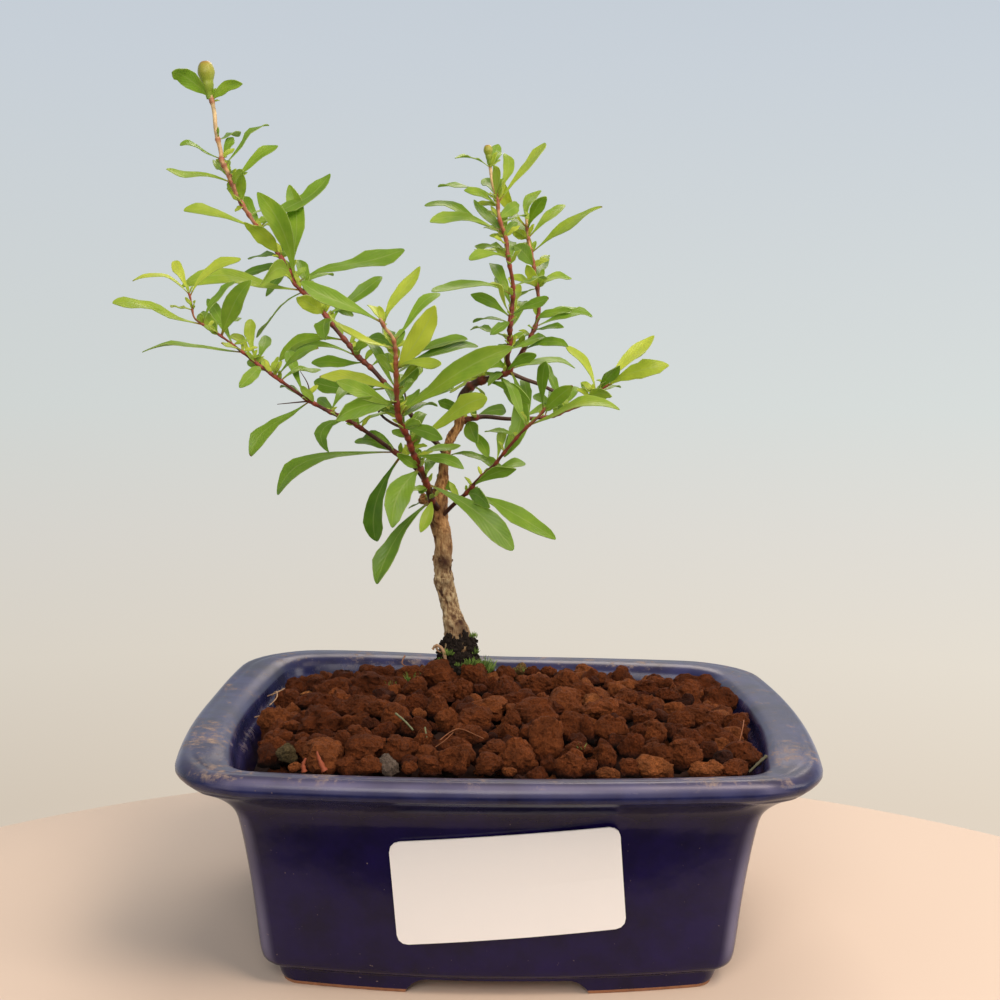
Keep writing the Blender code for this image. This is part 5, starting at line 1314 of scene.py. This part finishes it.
def make_trunk():
    line = curve_through(TRUNK_ROUTE, 8)
    trunk = draw_stem("bark_trunk", line, BARK, 11)
    parts = [trunk]
    for start, end, radius in CUT_STUBS:
        start, end = Vector(start), Vector(end)
        stub = []
        for step in range(11):
            share = step / 10
            swell = 1.0 + 0.25 * share * share - (0.5 if step == 10 else 0.0)
            stub.append((*start.lerp(end, share), radius * swell))
        parts.append(draw_stem("stub", stub, BARK, 7))
    trunk = join("bark_trunk", parts)
    roughen_bark(trunk)
    smooth(trunk, 50)
    finish_piece(trunk, "bark", "trunk")


def along_route(route, distance):
    """Point at a distance along a route, in millimetres."""
    left = distance
    for start, end in zip(route, route[1:]):
        start = Vector(start[:3])
        end = Vector(end[:3])
        length = (end - start).length
        if left <= length:
            return start.lerp(end, left / length)
        left -= length
    return Vector(route[-1][:3])


def route_length(route):
    return sum((Vector(b) - Vector(a)).length for a, b in zip(route, route[1:]))


def stem_line(route, thickness, bark, joints=(), root=None):
    """Fine line along a route with a swollen joint wherever a leaf grows, and what it is marked with.

    A root is a point inside the older wood that the stem starts from."""
    line = curve_through(route, 10)
    lengths = [0.0]
    for start, end in zip(line, line[1:]):
        lengths.append(lengths[-1] + (Vector(end) - Vector(start)).length)
    total = lengths[-1]
    result = []
    marks = {"along": [], "joint": []}
    for place, distance in zip(line, lengths):
        step = distance / total * (len(thickness) - 1)
        low = min(int(step), len(thickness) - 2)
        radius = (thickness[low] + (thickness[low + 1] - thickness[low]) * (step - low)) / 2
        swell = max((math.exp(-((distance - joint) / 0.5) ** 2) for joint in joints), default=0.0)
        result.append((*place, radius * (1 + 0.45 * swell)))
        marks["along"].append(bark[0] + (bark[1] - bark[0]) * distance / total)
        marks["joint"].append(0.8 * swell)
    if root:
        result.insert(0, (*root, 0.8 * result[0][3]))
        for values in marks.values():
            values.insert(0, values[0])
    return result, marks


# ---------------------------------------------------------------- leaves


def leaf_form(name, outline):
    """One flat leaf of unit length and half width, narrowed row by row to its outline."""
    rows = len(outline) - 1
    bpy.ops.mesh.primitive_grid_add(x_subdivisions=LEAF_COLUMNS, y_subdivisions=rows, size=2.0)
    leaf = new_piece(name)
    bpy.ops.object.mode_set(mode="EDIT")
    for row, (share, breadth) in enumerate(outline):
        bpy.ops.mesh.select_all(action="DESELECT")
        shape = bmesh.from_edit_mesh(leaf.data)
        height = -1.0 + 2.0 * row / rows
        for vert in shape.verts:
            if abs(vert.co.y - height) < 0.01:
                vert.select_set(True)
        bmesh.update_edit_mesh(leaf.data)
        bpy.ops.transform.resize(value=(breadth, 1.0, 1.0), center_override=(0.0, 0.0, 0.0))
        bpy.ops.transform.translate(value=(0.0, 10.0 + share - height, 0.0))
    bpy.ops.mesh.select_all(action="SELECT")
    bpy.ops.transform.translate(value=(0.0, -10.0, 0.0))
    bpy.ops.object.mode_set(mode="OBJECT")
    leaf.data.materials.append(LEAF)
    leaf.data.materials.append(LEAF_BELOW)
    return leaf


def leaf_axes(heading, rise, turn):
    """Directions along a leaf, across it and out of its upper face."""
    h = math.radians(heading)
    r = math.radians(rise)
    along = Vector((math.cos(h) * math.cos(r), math.sin(h) * math.cos(r), math.sin(r)))
    up = Vector((0, 0, 1))
    front = Vector((0, -1, 0))
    up -= along * up.dot(along)
    front -= along * front.dot(along)
    t = math.radians(turn)
    face = (up * math.cos(t) + front * math.sin(t)).normalized()
    return along, along.cross(face), face


def lay_leaf(form, root, heading, rise, length, width, turn, bend, dice):
    """Copy a leaf form to its place: bent along its length, folded at its rib, twisted, wavy."""
    leaf = own_copy(form)
    along, across, face = leaf_axes(heading, rise, turn)
    if bend:
        sweep = Vector((bend[0], 0.0, bend[1]))
    else:
        sweep = Vector((0.0, 0.0, LEAF_ARCH * length * dice.uniform(0.4, 1.4)))
        sweep += across * 0.06 * length * dice.uniform(-1, 1)
    sweep.y += 0.06 * length * dice.uniform(-1, 1)
    hook = 0.05 * length * dice.uniform(-1.0, 1.0)
    fold = LEAF_FOLD * dice.uniform(0.4, 2.2)
    twist = math.radians(dice.uniform(-30, 30))
    wave = dice.uniform(0.08, 0.32)
    waves = dice.uniform(8, 15)
    phase = dice.uniform(0, math.tau)
    uneven = dice.uniform(0.02, 0.09)
    width *= SLENDER
    for vert in leaf.data.vertices:
        side, share, _ = vert.co
        lobes = 1 + uneven * math.sin(1.7 * waves * share + phase + (2.0 if side > 0 else 0.0))
        offset = side * width / 2 * lobes
        bulge = 4 * share * (1 - share)
        middle = root + along * share * length + sweep * bulge
        middle += face * hook * math.sin(math.tau * share)
        turned = twist * share
        sideways = across * math.cos(turned) + face * math.sin(turned)
        outwards = face * math.cos(turned) - across * math.sin(turned)
        ripple = wave * abs(offset) * math.sin(waves * share + phase + (1.5 if side > 0 else 0))
        vert.co = middle + sideways * offset + outwards * (fold * abs(offset) + ripple)
    return leaf


def back_leaves(route, count):
    """Leaves on the far side of a stem, set round it in the golden angle."""
    total = route_length(route)
    leaves = []
    for index in range(count):
        distance = total * (0.3 + 0.62 * (index + 0.5) / count)
        heading = 40 + (index * GOLDEN_ANGLE) % 100
        length = 12.5 + 1.5 * (index % 3)
        leaves.append((distance, heading, 10 + 15 * (index % 3), length, 3.2, 20, 0.45))
    return leaves


def bracts(joints, dice):
    """Tiny new leaves at the joints of a stem."""
    leaves = []
    for joint in joints:
        for _ in range(dice.choice((0, 1, 1, 2))):
            heading = dice.uniform(0, 360)
            rise = dice.uniform(10, 75)
            length = dice.uniform(1.8, 4.6)
            leaves.append((joint, heading, rise, length, 0.38 * length, 40, dice.uniform(0.55, 0.95)))
    return leaves


def grow(name, stem, forms, dice):
    """Stem and leaves of one branch: lists of wood and of leaf objects."""
    route = stem["route"]
    leaves = stem["leaves"] + back_leaves(route, stem["back_leaves"])
    joints = [leaf[0] for leaf in leaves]
    leaves = leaves + bracts(joints, dice)
    line, marks = stem_line(route, stem["thickness"], stem["bark"], joints, stem.get("root"))
    wood = [draw_stem(name, line, TWIG, 2, marks)]
    for twig, thickness in stem.get("twigs", []):
        line, marks = stem_line(twig, thickness, (0.0, 0.12))
        wood.append(draw_stem("twig", line, TWIG, 2, marks))
    blades = []
    for leaf in leaves:
        distance, heading, rise, length, width, turn, tone = leaf[:7]
        bend = leaf[7] if len(leaf) > 7 else None
        kind = "oval" if width / length > 0.31 else dice.choice(("lance", "spoon"))
        root = along_route(route, distance)
        blade = lay_leaf(forms[kind], root, heading, rise, length, width, turn, bend, dice)
        count = len(blade.data.vertices)
        mark_points(blade, "age", [tone + dice.uniform(-0.05, 0.05)] * count)
        mark_points(blade, "scorch", [1.0 if dice.random() < SCORCHED_SHARE else 0.0] * count)
        blades.append(blade)
    if "fork" in stem:
        more_wood, more_blades = grow(name + "_fork", stem["fork"], forms, dice)
        wood += more_wood
        blades += more_blades
    return wood, blades


def make_branches():
    forms = {name: leaf_form(name, outline) for name, outline in LEAF_OUTLINES.items()}
    for count, (name, stem) in enumerate(STEMS.items()):
        wood, blades = grow(name, stem, forms, random.Random(50 + count))
        leaves = join("leaves", blades)
        apply_modifier(
            leaves, "SOLIDIFY", thickness=LEAF_THICKNESS, offset=-1.0, material_offset=1,
            material_offset_rim=0,
        )
        branch = join("leafy_" + name, [leaves] + wood)
        smooth(branch, 60)
        finish_piece(branch, "leafy_stem", name)
    remove(*forms.values())


def make_bud(name, start, end, radius):
    """Urn-shaped bud whose upper half is ribbed by its closed sepals."""
    start, end = Vector(start), Vector(end)
    profile = [
        (0.0, 0.32), (0.16, 0.43), (0.26, 0.6), (0.37, 0.7), (0.47, 0.69), (0.56, 0.83), (0.69, 1.0),
        (0.81, 0.95), (0.9, 0.82), (0.97, 0.62), (1.0, 0.42),
    ]
    line = [(*start.lerp(end, share), radius * breadth) for share, breadth in profile]
    bud = draw_stem("fine_" + name, curve_through(line, 4), BUD, 7)
    axis = (end - start).normalized()
    for vert in bud.data.vertices:
        share = (vert.co - start).dot(axis) / (end - start).length
        out = vert.co - start - axis * (vert.co - start).dot(axis)
        angle = math.atan2(out.y, out.x)
        groove = 0.08 * max(0.0, share - 0.45) * (1 - math.cos(6 * angle))
        vert.co -= out * groove
    smooth(bud, 60)
    finish_piece(bud, "bud", name)


# ---------------------------------------------------------------- foot of the trunk and litter

# Tufts of moss: middle, spread, number of shoots, their length, and how far they lean over.
MOSS_TUFTS = [
    ((-4.2, 14, 50.2), 2.3, 240, 3.2, 1), ((-14.8, 13.6, 50), 1.3, 110, 2, 0.9),
    ((-13, 11.2, 52), 1.2, 110, 1.3, 0.9), ((-11.4, 9.4, 54.6), 1.2, 80, 1.2, 1),
    ((-6.4, 10, 52.4), 1.4, 120, 1.4, 1), ((-5.8, 12, 54.2), 0.9, 45, 1.3, 0.9),
    ((-9.2, 9.9, 52), 1.2, 60, 1, 0.9), ((-6, 13, 57.6), 0.8, 40, 1.3, 0.8),
    ((-24.2, 6.3, 47.6), 1.1, 22, 2, 1.1), ((-19.6, 9.9, 48.4), 1.3, 26, 2.2, 1.1),
    ((-16.4, 9, 48.9), 0.9, 16, 2, 1), ((16, -34.5, 45.6), 0.6, 9, 1.4, 1),
    ((4.6, 20.5, 48.4), 1.3, 24, 1, 1.1),
]
# Roots, straws and splinters on the granules: finish, radius at both ends, points.
LITTER = [
    (ROOT, 0.18, 0.12, [(-22.2, 25, 50.2), (-22.6, 21, 49.4), (-21, 17, 49.4), (-18, 14, 49.4)]),
    (DRY_WOOD, 0.45, 0.3, [
        (-12.1, 8.8, 50.6), (-12.2, 8.8, 53.4), (-12.9, 9, 55.4), (-14.2, 9.4, 56.1), (-15, 9.6, 55.2),
    ]),
    (DRY_WOOD, 0.3, 0.2, [(-14.2, 9.4, 56.1), (-14, 9.4, 55.1), (-13.2, 9.2, 54.6)]),
    (DRY_WOOD, 0.17, 0.1, [(-50.6, 8.5, 44.6), (-49.3, 6, 46.2), (-48.6, 2, 45.8), (-49.6, -1.5, 45)]),
    (DRY_WOOD, 0.15, 0.1, [(-47.6, 7, 46.6), (-49.4, 5.2, 46), (-51.2, 5.6, 45.2)]),
    (DRY_WOOD, 0.17, 0.1, [(-51.8, -7.4, 43.9), (-50.3, -8.3, 44.5), (-49.2, -9.6, 44.4)]),
    (ROOT, 0.1, 0.08, [(-11.5, -33.2, 46.6), (-9.4, -30.6, 47.6), (-7.4, -29.6, 47.8), (-3, -33.4, 47)]),
    (ROOT, 0.08, 0.05, [(-9, -30.8, 47.5), (-10.5, -33.6, 46.7), (-12.3, -36, 46)]),
    (STRAW, 0.22, 0.17, [(-20.9, -22.6, 49), (-18.9, -26.2, 48.5), (-17, -29.6, 47.6)]),
    (STRAW, 0.18, 0.14, [(-14.6, -30.4, 48.4), (-14.2, -31.4, 46.6)]),
    (SPLINTER, 0.66, 0.16, [(-33, -41.2, 42.6), (-34, -40.8, 44.6), (-34.6, -40.4, 46.2)]),
    (FADED_BLADE, 0.35, 0.2, [(52, -33.6, 44.1), (50.4, -34.8, 43.2), (48.3, -36, 41.6)]),
    (ROOT, 0.12, 0.08, [(50.3, -16, 46.5), (49.4, -20, 45.6), (48.1, -24, 43.7)]),
    (SPLINTER, 0.58, 0.16, [(-36.9, -41, 42.4), (-37.1, -40.9, 43.8), (-36.6, -40.8, 45)]),
]
COLLAR_CRUMBS = 760
COLLAR_FOOT = 49.5
COLLAR_HEIGHT = 7.2


def trunk_at(height):
    """Middle and radius of the trunk at a height."""
    for low, high in zip(TRUNK_ROUTE, TRUNK_ROUTE[1:]):
        if height <= high[2]:
            break
    share = (height - low[2]) / (high[2] - low[2])
    x, y, _, radius = (a + (b - a) * share for a, b in zip(low, high))
    return x, y, radius


def make_collar():
    """Crumbs of dark peat heaped against the foot of the trunk, highest at its front."""
    dice = random.Random(31)
    forms = granule_forms(3, 2)
    crumbs = []
    for _ in range(COLLAR_CRUMBS):
        climb = dice.random() ** 1.2
        degrees = dice.choice((dice.uniform(-120, 30), dice.uniform(-180, 180)))
        angle = math.radians(degrees)
        top = COLLAR_HEIGHT + 1.3 * math.cos(angle + 1.4) + 0.8 * math.sin(5 * angle)
        height = COLLAR_FOOT + top * climb
        x, y, trunk_radius = trunk_at(height)
        radius = dice.uniform(0.18, 0.6)
        reach = trunk_radius - 0.1 + 1.7 * (1 - climb) ** 2 * dice.random() + 0.8 * dice.random() ** 4
        place = Vector((x + reach * math.cos(angle), y + reach * math.sin(angle), height))
        size = (radius * dice.uniform(0.7, 1.4), radius, radius * dice.uniform(0.8, 1.9))
        crumbs.append(lay_granule(dice.choice(forms), place, size, 0.0, dice))
    remove(*forms)
    collar = join("peat_collar", crumbs)
    collar.data.materials.append(HUMUS)
    smooth(collar, 20)
    finish_piece(collar, "lava_granules")


def make_moss():
    """Tufts of moss round the foot of the trunk and here and there on the granules."""
    bpy.ops.mesh.primitive_cone_add(vertices=3, radius1=0.13, radius2=0.02, depth=1.0, location=(0, 0, 0.5))
    shoot = new_piece("moss_shoot")
    dice = random.Random(5)
    shoots = []
    for middle, spread, count, length, lean in MOSS_TUFTS:
        for _ in range(count):
            away = spread * math.sqrt(dice.random())
            angle = dice.uniform(0, math.tau)
            shift = Vector((away * math.cos(angle), away * math.sin(angle), -0.4 * away))
            tip = Matrix.Rotation(lean * away / spread * dice.uniform(0.4, 1.2), 4, "Y")
            spin = Matrix.Rotation(angle + dice.uniform(-0.6, 0.6), 4, "Z")
            tall = Matrix.Diagonal((1.0, 1.0, length * dice.uniform(0.4, 1.0), 1.0))
            made = own_copy(shoot)
            made.data.transform(Matrix.Translation(Vector(middle) + shift) @ spin @ tip @ tall)
            tone = dice.uniform(0.0, 0.6)
            tones = [tone + (0.2 if vert.co.z > 0.5 else 0.0) for vert in shoot.data.vertices]
            mark_points(made, "tone", tones)
            shoots.append(made)
    remove(shoot)
    moss = join("moss_tufts", shoots)
    moss.data.materials.append(MOSS)
    finish_piece(moss, "lava_granules")


def make_litter():
    """Dry roots, a green straw and two red splinters lying on the granules."""
    pieces = []
    for finish, start, end, points in LITTER:
        line = curve_through(points, 5)
        last = len(line) - 1
        rod = []
        for index, place in enumerate(line):
            radius = start + (end - start) * index / last
            rod.append((*place, radius * (1 + 0.2 * math.sin(2.3 * index))))
        pieces.append(draw_stem("rootlet", rod, finish, 1))
    litter = join("dry_litter", pieces)
    smooth(litter, 60)
    finish_piece(litter, "lava_granules")


# ---------------------------------------------------------------- camera, light and floor


# The camera: its place in the pot's millimetres, and how many degrees it looks down and is rolled.
CAMERA_PLACE = (0.3787, -317.4837, 126.8951)
CAMERA_PITCH = 6.6569
CAMERA_ROLL = 0.51
CAMERA_LENS = 54.0
CAMERA_SHIFT = (-0.00328, -0.00009)
# Soft lights: name, place and side in metres, watts and colour.
LIGHTS = (
    ("key_light", (0.34, -0.3, 0.62), 0.34, 3.9, "#ffe8d2"),
    ("front_light", (-0.08, -0.74, 0.44), 0.45, 4.1, "#fff6ee"),
    ("back_light", (0.1, 0.55, 0.6), 0.4, 2.8, "#fff0e0"),
    ("right_light", (0.6, -0.1, 0.2), 0.25, 1.0, "#fff4ea"),
)
# The floor is a round board with its front cut off straight, in metres.
FLOOR_RADIUS = 0.187
FLOOR_THICKNESS = 0.004
FLOOR_MIDDLE = -0.09
FLOOR_FRONT = -0.085
CEILING = 0.75  # brightness of the ceiling, as a share of the backdrop's
ROOM_BEHIND = 0.2  # brightness of the room behind the camera, as a share of the backdrop's


def make_studio():
    scene = bpy.context.scene
    scene.view_settings.view_transform = "Standard"
    camera = bpy.data.objects.new("camera", bpy.data.cameras.new("camera"))
    scene.collection.objects.link(camera)
    scene.camera = camera
    pitch = math.radians(CAMERA_PITCH)
    roll = math.radians(CAMERA_ROLL)
    ahead = Vector((0, math.cos(pitch), -math.sin(pitch)))
    right = ahead.cross(Vector((0, 0, 1))).normalized()
    up = right.cross(ahead)
    tilted_right = math.cos(roll) * right + math.sin(roll) * up
    tilted_up = math.cos(roll) * up - math.sin(roll) * right
    turn = Matrix((tilted_right, tilted_up, -ahead)).transposed().to_4x4()
    turn.translation = INTO_FRAME @ Vector(CAMERA_PLACE)
    camera.matrix_world = turn
    camera.data.sensor_width = 36.0
    camera.data.lens = CAMERA_LENS
    camera.data.shift_x, camera.data.shift_y = CAMERA_SHIFT
    camera.data.clip_start = 0.01

    bpy.ops.mesh.primitive_cylinder_add(
        vertices=180, radius=FLOOR_RADIUS, depth=FLOOR_THICKNESS,
        location=(POT_PLACE.x, FLOOR_MIDDLE, -FLOOR_THICKNESS / 2),
    )
    floor = named(bpy.context.object, "floor")
    bpy.ops.object.mode_set(mode="EDIT")
    bpy.ops.mesh.select_all(action="SELECT")
    bpy.ops.mesh.bisect(
        plane_co=(0.0, FLOOR_FRONT, 0.0), plane_no=(0.0, -1.0, 0.0), use_fill=True, clear_outer=True
    )
    bpy.ops.object.mode_set(mode="OBJECT")
    # Painted board: even, matt, warm off-white.
    floor.data.materials.append(
        new_finish("matt_painted_board", Base_Color="#d2c0b0", Roughness=0.9, IOR=1.5)[0]
    )

    world = bpy.data.worlds.new("studio")
    scene.world = world
    world.use_nodes = True
    tree = world.node_tree
    way = add(tree, "ShaderNodeTexCoord").outputs["Generated"]
    rise = add(tree, "ShaderNodeSeparateXYZ", {"Vector": way}).outputs["Z"]
    share = add(tree, "ShaderNodeMapRange", {
        "Value": rise, "From Min": -0.3, "From Max": 0.25,
    }).outputs["Result"]
    sky = add(tree, "ShaderNodeValToRGB", {"Fac": share}, stops=[
        (0.0, "#e0d3c2"), (0.16, "#e4dccf"), (0.3, "#dfdcd5"), (0.45, "#d7dcda"), (0.85, "#c9d1d9"),
        (1.0, "#c3ccd6"),
    ]).outputs["Color"]
    tree.links.new(sky, tree.nodes["Background"].inputs["Color"])
    # The room is darker behind the camera, and the backdrop brightens to the right lower down.
    sideways, forwards, _ = add(tree, "ShaderNodeSeparateXYZ", {"Vector": way}).outputs
    behind = add(tree, "ShaderNodeMapRange", {
        "Value": forwards, "From Min": -0.6, "From Max": 0.4, "To Min": ROOM_BEHIND, "To Max": 1.0,
    }, interpolation_type="SMOOTHSTEP").outputs["Result"]
    low = add(tree, "ShaderNodeMath", {0: 1.0, 1: share}, operation="SUBTRACT").outputs[0]
    slope = add(tree, "ShaderNodeMath", {0: sideways, 1: 0.24, 2: -0.05}, operation="MULTIPLY_ADD")
    slope = add(tree, "ShaderNodeMath", {0: slope.outputs[0], 1: low, 2: 1.0}, operation="MULTIPLY_ADD")
    above = add(tree, "ShaderNodeMapRange", {
        "Value": rise, "From Min": 0.3, "From Max": 0.75, "To Min": 1.0, "To Max": CEILING,
    }, interpolation_type="SMOOTHSTEP").outputs["Result"]
    strength = add(tree, "ShaderNodeMath", {0: slope.outputs[0], 1: behind}, operation="MULTIPLY")
    strength = add(tree, "ShaderNodeMath", {0: strength.outputs[0], 1: above}, operation="MULTIPLY")
    tree.links.new(strength.outputs[0], tree.nodes["Background"].inputs["Strength"])

    for name, place, size, power, colour in LIGHTS:
        light = bpy.data.lights.new(name, "AREA")
        light.shape = "SQUARE"
        light.size = size
        light.energy = power
        light.color = linear(colour)[:3]
        lamp = bpy.data.objects.new(name, light)
        scene.collection.objects.link(lamp)
        lamp.location = place
        aim = Vector((0, 0, 0.06)) - Vector(place)
        lamp.rotation_euler = aim.to_track_quat("-Z", "Y").to_euler()


# ---------------------------------------------------------------- all together

make_pot()
make_soil_bed()
make_granules()
make_trunk()
make_branches()
for bud_name, bud_place in BUDS.items():
    make_bud(bud_name, *bud_place)
make_collar()
make_moss()
make_litter()
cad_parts["label"].material_slots[0].material = PAPER
for side in ("left", "right"):
    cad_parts[f"drain_mesh_{side}"].material_slots[0].material = MESH_PLASTIC
make_studio()
